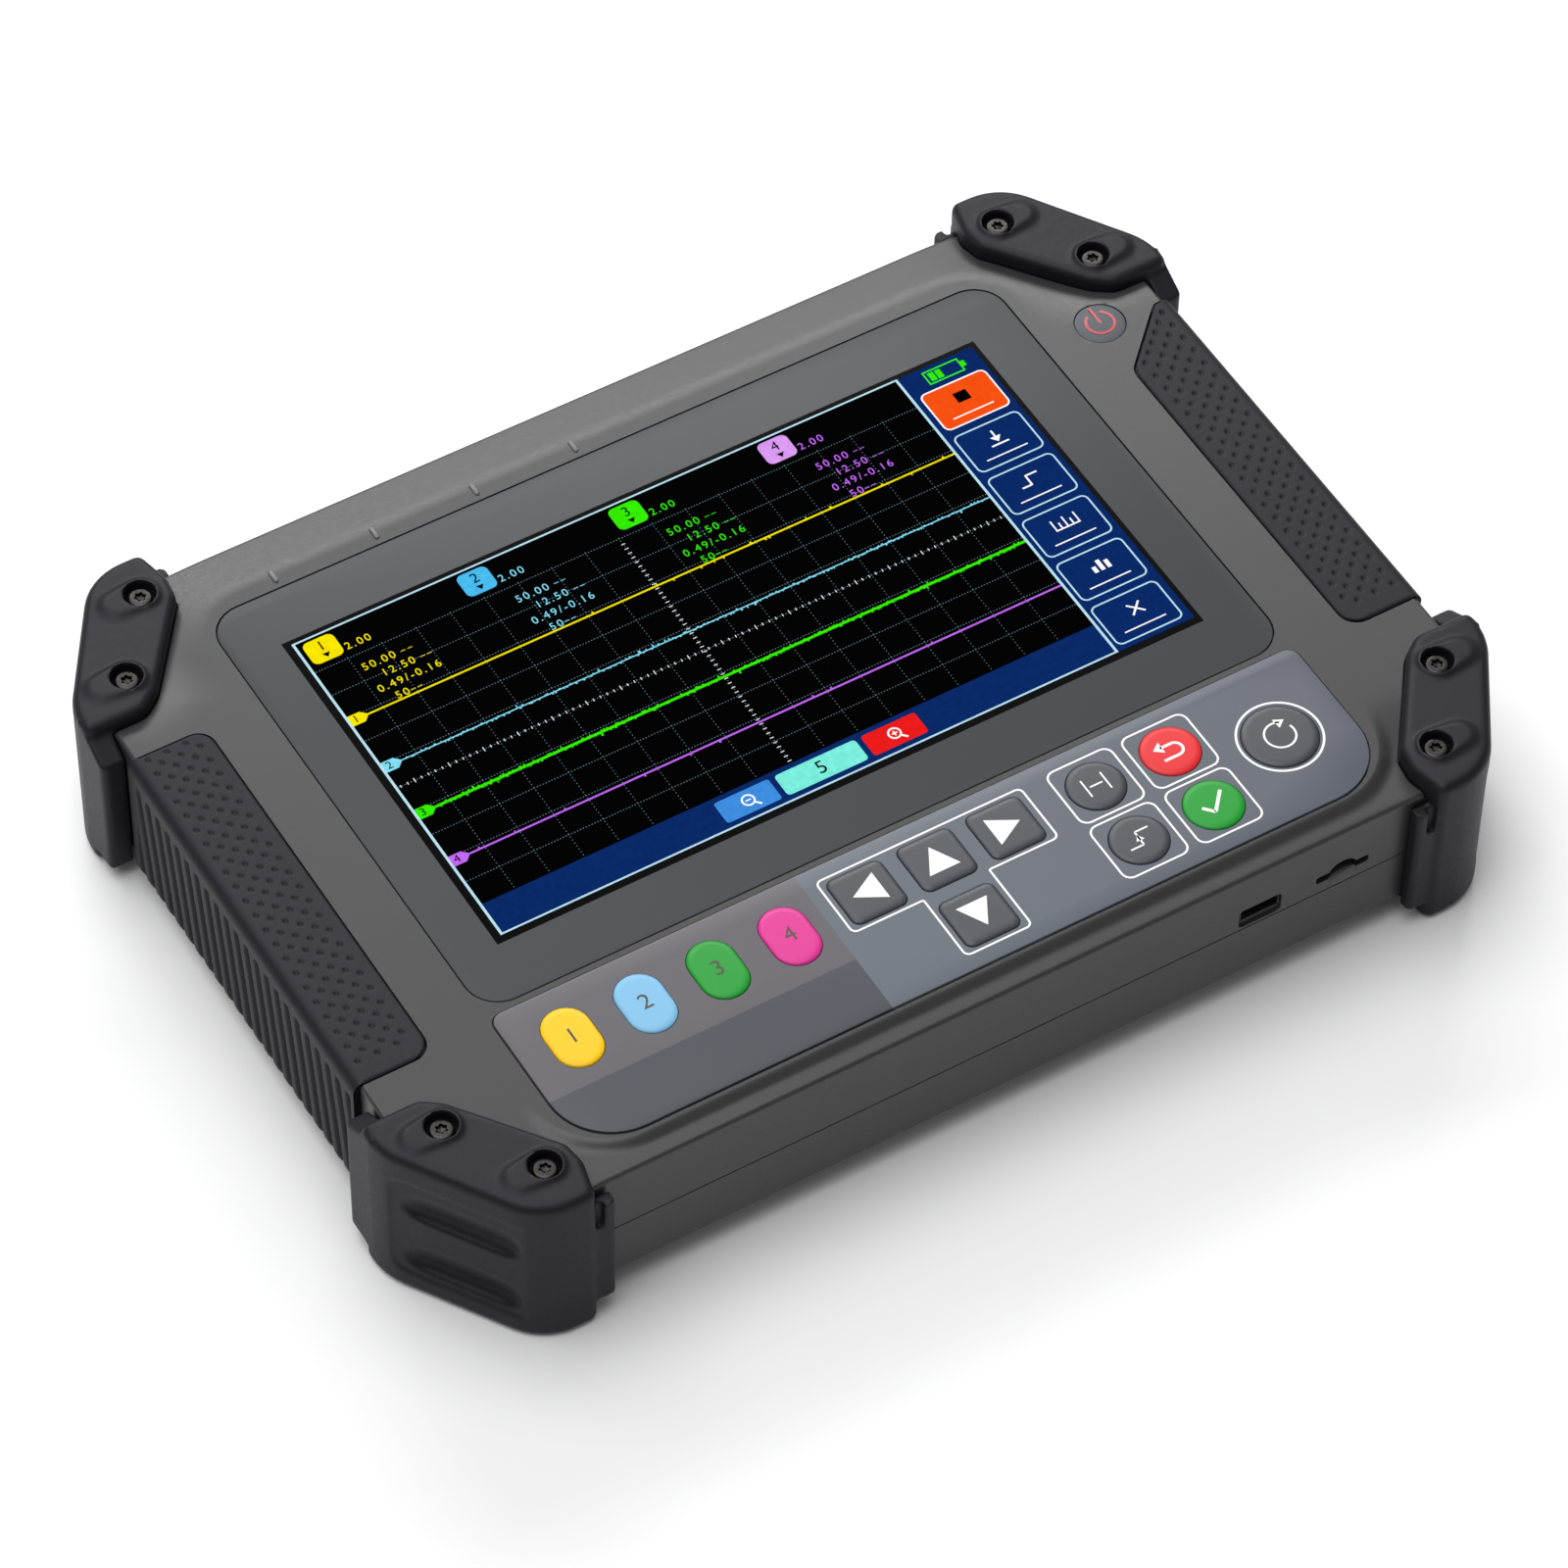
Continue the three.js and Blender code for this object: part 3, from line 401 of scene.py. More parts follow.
def rayHit(points, direction):  # where a ray from the origin leaves a closed outline
    best = 0
    for i, a in enumerate(points):
        b = points[(i + 1) % len(points)]
        ex, ey = b[0] - a[0], b[1] - a[1]
        cross = direction[0] * ey - direction[1] * ex
        if abs(cross) < 1e-9:
            continue
        t = (a[0] * ey - a[1] * ex) / cross
        s = (a[0] * direction[1] - a[1] * direction[0]) / cross
        if t > 0 and -1e-6 <= s <= 1 + 1e-6:
            best = max(best, t)
    return best


def box(x0, x1, y0, y1):
    return [(x0, y0), (x1, y0), (x1, y1), (x0, y1)]


def blockCutter(x0, x1, y0, y1, z0, z1):
    return roundedSlab("cutter", box(x0, x1, y0, y1), z0, z1)


def upright(points, y0, y1):  # an outline drawn in X and Z, between two Y planes
    rings = [[(x, y, z) for x, z in points[::-1]] for y in (y0, y1)]
    return stackRings("cutter", rings)


def guardSeats():
    seats = []
    for _, sx, sy in corners.values():
        plan = mirrored(shiftOutline(roundOutline(guardPlan, 5), 0.3), sx, sy)
        seats += [roundedSlab("cutter", plan, 34, 45), roundedSlab("cutter", plan, -2, 5)]
    return seats


def gripPlan(side, grow=0):
    rear, front, inner, outer = 45.2 + grow, -44 - grow, 101.5 - grow, 120
    plan = [(outer, front, 0), (outer, rear, 0), (inner, rear, 3.8), (inner, front, 4.2)]
    if side > 0:  # the right grip steps round the power button
        plan[1:3] = [(outer, rear + 1.4, 0), (inner + 13.4, rear + 1.4, 2), (inner, rear - 11.8, 4.5)]
    return mirrored(roundOutline(plan, 6), side, 1)


def bayCutters():  # the bay of the input panel and the slot that holds the panel
    return [blockCutter(-82, 82, 77.3, 86, 6.5, 27), blockCutter(-83.3, 83.3, 74.7, 77.3, 5.2, 28.3)]


ports = {"usbX": 54.9, "cardX": 73.6, "z": 23.9, "bevelZ": 22.0, "outside": -87, "inside": -79}
powerButton = {"x": 102.6, "y": 47.8, "radius": 5.2}


def portCutters():
    cardX, z, outside = ports["cardX"], ports["z"], ports["outside"]
    arch = [(-3.6, 0), (3.6, 0), (2.6, 1.7), (1.4, 2.5), (0, 2.8), (-1.4, 2.5), (-2.6, 1.7)]
    return [
        upright(rectangle(9.6, 3.7, 1.1, ports["usbX"], z), outside, ports["inside"]),
        upright(rectangle(9.6, 2.6, 1.0, ports["usbX"], ports["bevelZ"]), outside, -84.3),
        upright(rectangle(12, 1.9, 0.5, cardX, z), outside, ports["inside"]),
        upright([(cardX + a, z + b) for a, b in arch], outside, -81)]


def deckRings(outer):  # closed lines that run from the shell's edge in to the flat plateau
    reachX, front, rear = deck["plateauX"], deck["plateauFront"], deck["plateauRear"]
    plateau = roundOutline([
        (-reachX, front, deck["frontRadius"]), (reachX, front, deck["frontRadius"]),
        (reachX, rear, deck["rearRadius"]), (-reachX, rear, deck["rearRadius"])], 10)
    inner = []
    for x, y in outer:
        k = rayHit(plateau, (x, y))
        inner.append((x * k, y * k))
    rings = []
    for t in deck["rays"]:
        ring = []
        for (ox, oy), (ix, iy) in zip(outer, inner):
            x, y = ix + (ox - ix) * t, iy + (oy - iy) * t
            radius = deck["rearRadius"] if y > 0 else deck["frontRadius"]
            dx, dy = abs(x) - reachX + radius, max(y - rear, front - y) + radius
            outside = math.hypot(max(dx, 0), max(dy, 0)) + min(max(dx, dy), 0) - radius
            ring.append((x, y, deckHeight(x, y, max(outside, 0))))
        rings.append(ring)
    return rings


def frontHousing():
    outer = densify(shellPlan(deck["edge"]), 2.5)
    full = densify(shellPlan(0), 2.5)
    full = [min(full, key=lambda p, q=q: math.dist(p, q)) for q in outer]
    rings = deckRings(outer)
    sides = [atHeight(full, deck["parting"])]
    for k in range(4):  # the rounded edge between wall and deck
        angle = math.pi / 2 * k / 4
        out, drop = math.cos(angle), deck["edge"] * (1 - math.sin(angle))
        sides.append([(ox + (fx - ox) * out, oy + (fy - oy) * out, z - drop)
                      for (ox, oy), (fx, fy), (_, _, z) in zip(outer, full, rings[0])])
    body = stackRings("frontShell", sides + rings, sparkAbs, sharp=60)
    buttonHole = circle(powerButton["radius"] + 0.14, powerButton["x"], powerButton["y"], 48)
    cutters = [
        roundedSlab("cutter", rectangle(178.6, 110.6, 7.3, 0, 14.2, 10), 35.3, 40),
        roundedSlab("cutter", shiftOutline(padPlan(), 0.3), 36, 40),
        roundedSlab("cutter", buttonHole, 30, 40)]
    cutters += portCutters() + bayCutters() + guardSeats() + [gripCutter(-1), gripCutter(1)]
    cutters.append(blockCutter(-98.7, 98.7, -49.6, 49.6, 10, 32.3))  # the hollow inside
    cutters.append(blockCutter(-86.8, 86.8, -82.5, 72.5, 10, 32.5))
    return breakEdges(cutAway(body, cutters), 0.22)


def cardLip():  # a rounded lip under the card slot's arch
    lip = [(-83, 1), (-84.9, 1), (-85.2, 0.88), (-85.4, 0.66), (-85.5, 0.36), (-85.52, 0.02)]
    turns = [2 * math.pi * i / 32 for i in range(32)]
    rings = [[(ports["cardX"] + 3.4 * size * math.cos(a), y, 22.3 + 2.0 * size * math.sin(a)) for a in turns]
             for y, size in lip]
    return facingOut(stackRings("cardLip", rings, sparkAbs))


def padPlan():
    return roundOutline([(-89, -78.5, 13), (89, -78.5, 13), (89, -42.6, 2.5), (-89, -42.6, 2.5)], 10)


def gripCutter(side):  # the grip wraps the edge, so the wall behind it and the foot below it stay
    cutter = roundedSlab("cutter", gripPlan(side, 0.3), -5, 50)
    keep = [roundedSlab("cutter", mirrored(box(x0, x1, -60, 60), side, 1), z0, z1)
            for x0, x1, z0, z1 in ((100, 115.4, 7, 34.2), (90, 107.7, -6, 8))]
    return cutAway(cutter, keep)


mount(frontHousing(), "housing", "housing_plastic", "front_housing")
mount(cardLip(), "housing", "housing_plastic")

print("window and keypad")
pane = rectangle(178, 110, 7, 0, 14.2, 10)
window = roundedSlab("displayWindow", pane, 35.3, 37, 0.18, 0, printedAcrylic, 2)
mount(window, "housing", "lens", "display_window")


def flat(outlineList, z, name, finish, thick=0.02):  # thin printed shapes
    return [roundedSlab(f"{name}{number}", points, z - thick, z, 0, 0, finish)
            for number, points in enumerate(outlineList)]


def joinPieces(pieces, name):
    mesh = bpy.data.meshes.new(name)
    shape = bmesh.new()
    for piece in pieces:
        finish = piece.data.materials[0]
        if finish.name not in mesh.materials:
            mesh.materials.append(finish)
        first = len(shape.faces)
        shape.from_mesh(piece.data)
        shape.faces.ensure_lookup_table()
        for face in shape.faces[first:]:
            face.material_index = mesh.materials.find(finish.name)
    shape.to_mesh(mesh)
    shape.free()
    for piece in pieces:
        bpy.data.objects.remove(piece)
    joined = bpy.data.objects.new(name, mesh)
    scene.collection.objects.link(joined)
    return joined


def band(points, width, z, name, finish, thick=0.03):  # a closed printed line
    outer, inner = shiftOutline(points, width / 2), shiftOutline(points, -width / 2)
    section = [(inner, z - thick), (outer, z - thick), (outer, z), (inner, z), (inner, z - thick)]
    return stackRings(name, [atHeight(line, height) for line, height in section], finish, caps=False)


def leg(start, end, width):  # a straight stroke as one quad
    a, b = Vector(start), Vector(end)
    side = Vector((-(b - a).y, (b - a).x)).normalized() * (width / 2)
    return [tuple(a - side), tuple(b - side), tuple(b + side), tuple(a + side)]


legend = {"top": 37.44, "line": 0.42, "heavyLine": 0.48, "frameRear": -52.8}
column = {"left": -13.3, "middle": 2.1, "right": 17.4, "round": 37.6, "answer": 54.4, "start": 74.5}
row = {"channel": -54.5, "rear": -52.9, "front": -68.1, "start": -60.4}
channelX = [-77.9, -62.3, -46.7, -31.1]
teePlan = roundOutline([
    (-20.5, -46.0, 1.2), (-20.5, -59.8, 1.2), (-5.1, -59.8, 0.4), (-5.1, -75.1, 1.2), (9.4, -75.1, 1.2),
    (9.4, -59.8, 0.4), (24.9, -59.8, 1.2), (24.9, -46.0, 1.2)], 5)
outlines = [(teePlan, legend["line"])]
for x in (column["round"], column["answer"]):
    outlines += [(rectangle(14.4, 14.1, 1.9, x, y, 5), legend["line"]) for y in (legend["frameRear"], row["front"])]
outlines.append((circle(8.45, column["start"], row["start"], 64), legend["heavyLine"]))
frames = [band(plan, width, legend["top"], "frame", whiteInk) for plan, width in outlines]
mount(joinPieces(frames, "keypadFrames"), "housing", "overlay")

keyHeight = {"skirt": 36.6, "edge": 37.4, "crown": 37.95, "roll": 1.53}
inkTop = keyHeight["crown"] + 0.02


def domedKey(name, plan, finish):
    edge, crown = keyHeight["edge"], keyHeight["crown"]
    rings = [atHeight(plan, keyHeight["skirt"]), atHeight(plan, edge)]
    for k in range(1, 9):
        angle = math.pi / 2 * k / 8
        inner = shiftOutline(plan, -keyHeight["roll"] * (1 - math.cos(angle)))
        rings.append(atHeight(inner, edge + (crown - edge) * math.sin(angle)))
    return stackRings(name, rings, finish, sharp=70)


def pill(x, y, width, length, steps=12):
    reach = (length - width) / 2
    upper = [around(x, y + reach, width / 2, math.pi * k / steps) for k in range(steps + 1)]
    return upper + [(2 * x - a, 2 * y - b) for a, b in upper]


channelKeys = list(zip(("yellow", "sky", "green", "pink"), channelX))
arrowKeys = [
    ("key_left", column["left"], row["rear"], 90), ("key_up", column["middle"], row["rear"], 0),
    ("key_right", column["right"], row["rear"], -90), ("key_down", column["middle"], row["front"], 180)]
keyTable = [(f"key_ch{n}", colour, pill(x, row["channel"], 9.7, 14.4))
            for n, (colour, x) in enumerate(channelKeys, 1)]
keyTable += [(node, "charcoal", rectangle(12, 12, 1.8, x, y, 5)) for node, x, y, _ in arrowKeys]
keyTable += [("key_cursors", "charcoal", circle(5.9, column["round"], row["rear"], 48)),
             ("key_trigger", "charcoal", circle(5.9, column["round"], row["front"], 48)),
             ("key_back", "red", circle(6, column["answer"], row["rear"], 48)),
             ("key_ok", "green", circle(6, column["answer"], row["front"], 48)),
             ("key_default", "charcoal", circle(7.6, column["start"], row["start"], 64))]
overlay = roundedSlab("keypadOverlay", padPlan(), 36.1, 37.4, 0.18, 0, overlayFilm, 2)
holes = [roundedSlab("cutter", shiftOutline(plan, 0.12), 35, 39) for _, _, plan in keyTable]
cutAway(overlay, holes)  # each key moves in its own hole
smoothPiece(overlay, 30)
mount(overlay, "housing", "overlay", "keypad_overlay")
slotOf = {node: "key_dark" if colour == "charcoal" else f"key_{colour}" for node, colour, _ in keyTable}
for node, colour, plan in keyTable:
    mount(domedKey(node.replace("key_", "cap_"), plan, keyFinish[colour]), node, slotOf[node], node)


def digit(text, x, y, height, z, name, finish, align="CENTER"):
    curve = bpy.data.curves.new(name, "FONT")
    curve.body = text
    curve.size = height * mm * 1.38
    curve.align_x, curve.align_y = align, "CENTER"
    curve.space_character = 1.3
    curve.extrude = 0.01 * mm
    letter = bpy.data.objects.new(name, curve)
    scene.collection.objects.link(letter)
    letter.location = (x * mm, y * mm, z * mm)
    bpy.context.view_layer.update()
    mesh = bpy.data.meshes.new_from_object(letter.evaluated_get(bpy.context.evaluated_depsgraph_get()))
    mesh.transform(letter.matrix_world)
    mesh.materials.clear()
    mesh.materials.append(finish)
    shape = bpy.data.objects.new(name, mesh)
    scene.collection.objects.link(shape)
    bpy.data.objects.remove(letter)
    return shape


for n, (colour, x) in enumerate(channelKeys, 1):
    ink = digit(str(n), x, row["channel"], 3.6, inkTop, f"channelNumber{n}", darkInk)
    mount(ink, f"key_ch{n}", slotOf[f"key_ch{n}"])
for node, x, y, angle in arrowKeys:
    turn = Matrix.Rotation(math.radians(angle), 2)
    tip = [tuple(turn @ Vector(p) + Vector((x, y))) for p in [(-3.4, -3.0), (3.4, -3.0), (0, 3.1)]]
    mount(flat([tip], inkTop, f"arrow_{node[4:]}_", whiteInk)[0], node, slotOf[node])


def bent(points, width):  # an open line as one quad to each leg
    return [leg(start, end, width) for start, end in zip(points, points[1:])]


def arc(x, y, radius, start, end, steps=16):
    return [around(x, y, radius, math.radians(start + (end - start) * k / steps)) for k in range(steps + 1)]


def keySign(node, x, y, width, lines, tip=()):  # open lines and a filled tip, about the key's middle
    shapes = [quad for line in lines for quad in bent([(x + a, y + b) for a, b in line], width)]
    if tip:
        shapes.append([(x + a, y + b) for a, b in tip])
    name = node.replace("key_", "sign_")
    mount(joinPieces(flat(shapes, inkTop, name, whiteInk), name), node, slotOf[node])


turnBack = [(-1.6, 1.3), (0.9, 1.3)] + arc(0.9, -0.25, 1.55, 90, -90) + [(-2.4, -1.8)]
keySign("key_back", column["answer"], row["rear"], 0.62, [turnBack], [(-1.2, -0.1), (-1.2, 2.7), (-3.1, 1.3)])
tick = [(-2.6, 0.1), (-0.8, -1.9), (2.8, 2.2)]
keySign("key_ok", column["answer"], row["front"], 0.7, [tick])
cursorLines = [[(-2.2, -2.2), (-2.2, 2.2)], [(2.2, -2.2), (2.2, 2.2)], [(-1.4, 0), (1.4, 0)]]
keySign("key_cursors", column["round"], row["rear"], 0.36, cursorLines)
risingEdge = [(-2.9, -1.7), (0, -1.7), (0, 1.7), (2.9, 1.7)]
upwards = [(-0.9, -0.5), (0.9, -0.5), (0, 0.9)]
keySign("key_trigger", column["round"], row["front"], 0.38, [risingEdge], upwards)
circling = arc(0, 0, 3.1, 60, 380, 40)  # back to the start values
keySign("key_default", column["start"], row["start"], 0.44, [circling], [(0.6, 3.9), (2.7, 2.9), (0.9, 1.5)])

print("screen")
picture = {
    "left": -77.4, "right": 76.9, "front": -26.7, "rear": 55.4,
    "graphRight": 58.9, "graphFront": -18.5, "barFront": 47.2,
    "gridX": 7.54, "gridY": 6.58, "centreX": -9.3, "centreY": 14.0, "z": 37.02, "layer": 0.015,
    "channelX": -72.6, "channelPitch": 33.97, "softKeyX": 68.3, "softKeyY": 43.8, "softKeyPitch": 12.78,
}
litTone = {
    "black": "#040405", "navy": "#0b2a68", "rim": "#bfe6f4", "yellow": "#ffe800", "cyan": "#84dff4",
    "green": "#35f000", "violet": "#c46af8", "white": "#ffffff", "grid": "#6f8f9c", "orange": "#ff5212",
    "blue": "#3f8ee0", "red": "#ee1c1c", "aqua": "#7df0e0", "lilac": "#dc9cf6", "sky": "#49bdf0",
}
screenColour = {key: litDisplay(f"lit {key}", hue, 1.1 if key == "white" else 1.0)
                for key, hue in litTone.items()}
drawn = {colour: [] for colour in screenColour}


def paint(colour, points, layer):
    drawn[colour].append((points, picture["z"] + layer * picture["layer"]))


def paintFrame(colour, points, width, layer):  # a closed line, drawn as quads
    outer, inner = shiftOutline(points, width / 2), shiftOutline(points, -width / 2)
    for i in range(len(points)):
        j = (i + 1) % len(points)
        paint(colour, [outer[i], outer[j], inner[j], inner[i]], layer)


def paintLine(colour, x0, y0, x1, y1, width, layer):
    paint(colour, leg((x0, y0), (x1, y1), width), layer)


draw = random.Random(7)
left, right, front, rear = picture["left"], picture["right"], picture["front"], picture["rear"]
graphRight, graphFront, barFront = picture["graphRight"], picture["graphFront"], picture["barFront"]
paint("navy", box(left, right, front, rear), 1)
paint("black", box(left + 0.3, graphRight, graphFront, rear - 0.3), 2)
for x in (left, graphRight):
    paint("rim", box(x, x + 0.55, front, rear), 3)
for y in (front, rear - 0.4):
    paint("rim", box(left, graphRight, y, y + 0.4), 4)
for number in range(-8, 10):  # a dotted graticule
    x = picture["centreX"] + number * picture["gridX"]
    if not left + 1 < x < graphRight - 1:
        continue
    y = barFront
    while y > graphFront:
        paint("grid", box(x - 0.07, x + 0.07, y - 0.2, y), 3)
        y -= picture["gridY"] / 8
for number in range(-5, 7):
    y = picture["centreY"] + number * picture["gridY"]
    if not graphFront < y < barFront + 0.5:
        continue
    x = left + 0.8
    while x < graphRight - 0.4:
        paint("grid", box(x, x + 0.24, y - 0.07, y + 0.07), 3)
        x += picture["gridX"] / 12
for tick in range(int((graphRight - left) * 5 / picture["gridX"])):
    x = left + 1.2 + tick * picture["gridX"] / 5
    tall = 0.55 if tick % 5 == 2 else 0.32
    paint("white", box(x - 0.08, x + 0.08, picture["centreY"] - tall, picture["centreY"] + tall), 4)
for tick in range(int((barFront - graphFront) * 5 / picture["gridY"])):
    y = graphFront + 0.6 + tick * picture["gridY"] / 5
    paint("white", box(picture["centreX"] - 0.42, picture["centreX"] + 0.42, y - 0.08, y + 0.08), 4)
traces = {  # level, half width, height of the noise
    "yellow": (32.75, 0.2, 0.05), "cyan": (19.55, 0.14, 0.3), "green": (6.35, 0.3, 0.3), "violet": (-6.8, 0.2, 0.05)}
for colour, (y, half, noiseHeight) in traces.items():
    tag, x0 = 1.35, left + 0.5
    paint(colour, [(x0, y - tag), (x0 + 2.7, y - tag), (x0 + 4.1, y), (x0 + 2.7, y + tag), (x0, y + tag)], 5)
    paint(colour, box(x0 + 4, graphRight, y - half, y + half), 5)
    x = x0 + 4
    while x < graphRight - 1:
        jump = draw.uniform(0.2, 1) * noiseHeight + (0.35 if draw.random() < 0.06 else 0)
        up = draw.choice((-1, 1))
        if jump > 0.12:
            peak = y + up * (half + jump)
            paint(colour, box(x, x + draw.uniform(0.2, 0.5), min(y, peak), max(y, peak)), 5)
        x += draw.uniform(0.4, 1.1)
channelTone = list(zip(("yellow", "sky", "green", "lilac"), traces))  # badge and writing
for channel, (badge, writing) in enumerate(channelTone):
    x = picture["channelX"] + picture["channelPitch"] * channel
    paint(badge, rectangle(6.7, 6.0, 1.3, x, 51.35, 4), 5)
    paint("black", [(x - 0.85, 50.3), (x, 49.1), (x + 0.85, 50.3)], 6)
    for y, start, length in ((43.3, 12.6, 4.2), (40.2, 15.2, 4.0), (33.9, 9.6, 4.2)):  # dashes beside readings
        for k in range(int(length / 1.5)):
            paintLine(writing, x + start + 1.5 * k, y, x + start + 1.5 * k + 1.05, y, 0.15, 4)
for number in range(6):  # soft keys down the right side, the rear one lit
    x, y = picture["softKeyX"] - 0.1 * number, picture["softKeyY"] - picture["softKeyPitch"] * number
    plan = rectangle(14.9, 10.7, 1.3, x, y, 5)
    if number == 0:
        paint("orange", plan, 4)
    paintFrame("rim" if number else "white", plan, 0.36, 5)
    paintLine("white", x - 4.7, y - 3.2, x + 4.7, y - 3.2, 0.32, 6)
paintFrame("green", box(64.6, 72.5, 50.8, 54.1), 0.35, 5)  # battery sign
for x0, x1, y0, y1 in ((72.6, 73.6, 51.7, 53.2), (65.3, 66.6, 51.3, 53.6), (66.9, 68.2, 51.3, 53.6)):
    paint("green", box(x0, x1, y0, y1), 5)
for colour, width, radius, x in (("blue", 12.1, 0.6, -21.2), ("aqua", 18, 0.8, -4.9), ("red", 12.1, 0.6, 11.4)):
    paint(colour, rectangle(width, 5.5, radius, x, -22.4, 4), 5)
for x, plus in ((-21.0, False), (11.5, True)):  # magnifiers, one narrower and one wider
    paintFrame("white", circle(1.25, x, -22.2, 16), 0.38, 6)
    paintLine("white", x + 0.9, -23.2, x + 1.9, -24.2, 0.45, 6)
    paintLine("white", x - 0.6, -22.2, x + 0.6, -22.2, 0.3, 6)
    if plus:
        paintLine("white", x, -22.8, x, -21.6, 0.3, 6)


def softKeySigns():  # a generic sign on each soft key: square, tray, step, ruler, bars, cross
    x, y, pitch = picture["softKeyX"], picture["softKeyY"] + 1.1, picture["softKeyPitch"]
    paint("black", box(x - 1.5, x + 1.5, y - 1.2, y + 1.5), 6)
    y -= pitch
    paint("white", [(x - 1.2, y + 0.5), (x, y - 1), (x + 1.2, y + 0.5)], 6)
    for a, b, c, d in ((0, 2.2, 0, 0), (-2, -1.6, 2, -1.6)):
        paintLine("white", x + a, y + b, x + c, y + d, 0.4, 6)
    y -= pitch
    for a, b, c, d in ((-2.6, -1.2, -0.4, -1.2), (-0.4, -1.3, -0.4, 1.5), (-0.4, 1.4, 2.2, 1.4)):
        paintLine("white", x + a, y + b, x + c, y + d, 0.4, 6)
    y -= pitch
    paintLine("white", x - 2.8, y - 1.2, x + 2.8, y - 1.2, 0.36, 6)
    for k in range(5):
        tickX = x - 2.6 + 1.3 * k
        paintLine("white", tickX, y - 1.2, tickX, y + (1.6 if k % 2 == 0 else 0.5), 0.34, 6)
    y -= pitch
    for k, tall in enumerate((1.6, 2.8, 2.1)):
        paint("white", box(x - 2 + 1.5 * k, x - 1.1 + 1.5 * k, y - 1.4, y - 1.4 + tall), 6)
    y -= pitch
    for up in (1.4, -1.4):
        paintLine("white", x - 1.4, y - up, x + 1.4, y + up, 0.42, 6)


softKeySigns()
border = roundedSlab("displayBorder", box(-79, 78, -28.3, 56.5), 36.9, picture["z"], 0, 0, blackPrint)
mount(border, "housing", "lens")
for colour, shapes in drawn.items():
    points, faces = [], []
    for shape, z in shapes:
        area = sum(a[0] * b[1] - b[0] * a[1] for a, b in zip(shape, shape[1:] + shape[:1]))
        loop = shape if area > 0 else shape[::-1]
        faces.append(tuple(range(len(points), len(points) + len(loop))))
        points += atHeight(loop, z)
    if points:
        mount(makePiece(f"picture_{colour}", points, faces, screenColour[colour]), "housing", "lcd")
numberZ, readingZ = 37.12, 37.1
black = screenColour["black"]
signs = [digit("5", -4.9, -22.4, 3.2, numberZ, "number", black)]
for n, (y, _, _) in enumerate(traces.values(), 1):
    signs.append(digit(str(n), -75.6, y, 1.9, numberZ, "number", black))
values = [
    ("2.00", 3.9, 49.6), ("50.00", 4.2, 43.3), ("12.50", 6.8, 40.2), ("0.49/-0.16", 4.2, 37.0), ("50", 6.4, 33.9)]
readings = []
for channel, (_, writing) in enumerate(channelTone):
    x = picture["channelX"] + picture["channelPitch"] * channel
    signs.append(digit(str(channel + 1), x, 52.2, 2.5, numberZ, "number", black))
    readings += [digit(text, x + start, y, 1.85, readingZ, "reading", screenColour[writing], "LEFT")
                 for text, start, y in values]
mount(joinPieces(signs, "screenNumbers"), "housing", "lcd")
mount(joinPieces(readings, "screenReadings"), "housing", "lcd")

print("guards")
guard = {
    "base": 40, "top": 40.8, "round": 1.8, "bore": 3.2, "seatZ": 37.7, "screws": [(109.6, 61.8), (97.7, 79.0)],
    "grooves": [27.1, 11.4], "grooveLength": 26, "voxel": 0.42, "relax": 4,
    "side": [(117.4, 48, 0.4), (122.5, 48, 1.2), (122.5, 57.6, 0), (117.4, 57.6, 0)],
    "end": [(88.1, 85.3, 0.4), (97, 85.3, 0), (97, 88.3, 0), (88.1, 88.3, 1)],
}


def swelling(x, y):  # a soft boss round the screw that runs out a little towards the side
    rings = []
    for k in range(9):
        t = k / 8
        nose, tail, run = 4.5 - 1.0 * t, 4.3 - 2.0 * t, 5.4 - 0.6 * t
        loop = []
        for a in [2 * math.pi * i / 48 for i in range(48)]:
            blend = smooth((math.cos(a) + 0.35) / 0.7)
            loop.append(around(x + run * blend, y, nose + (tail - nose) * blend, a))
        rings.append(atHeight(loop, guard["base"] - 0.03 + (guard["top"] - guard["base"] + 0.03) * smooth(t)))
    low = [(px, py, 38) for px, py, _ in rings[0]]
    return stackRings("boss", [low] + rings)


def onSlant(run, out, z):  # a point by the slanted face: along it, out from it and up
    start, end = Vector(slant[0]), Vector(slant[1])
    outward = Vector((chamferY, chamferX)).normalized()
    spot = (start + end) / 2 + (end - start).normalized() * run + outward * out
    return (spot.x, spot.y, z)


def fingerGroove(z):  # a scoop in the slanted face: a long fall inwards, then a steep lower lip
    section = [
        (4.9, 2.5), (4.9, 0), (3.4, -0.45), (1.8, -1.0), (0.2, -1.5), (-1.2, -1.9), (-2.5, -2.15), (-3.5, -2.1),
        (-4.2, -1.6), (-4.55, -0.8), (-4.7, 0), (-4.8, 2.5)]
    rings = []
    for k in range(21):
        t = -1 + 2 * k / 20
        tall, deep = max((1 - abs(t) ** 7) ** 0.5, 0.12), max(1 - abs(t) ** 6, 0.02)
        rings.append([onSlant(t * guard["grooveLength"] / 2, out * deep if out < 0 else out, z + up * tall)
                      for up, out in section])
    return facingOut(stackRings("cutter", rings))


def sunkPanel():  # the scoops lie in a panel sunk a little below the face
    panel = rectangle(30.4, 28.6, 3.4, 0, 19.3, 6)
    rings = [[onSlant(run, out, up) for run, up in panel] for out in (-0.45, 3)]
    return facingOut(stackRings("cutter", rings))


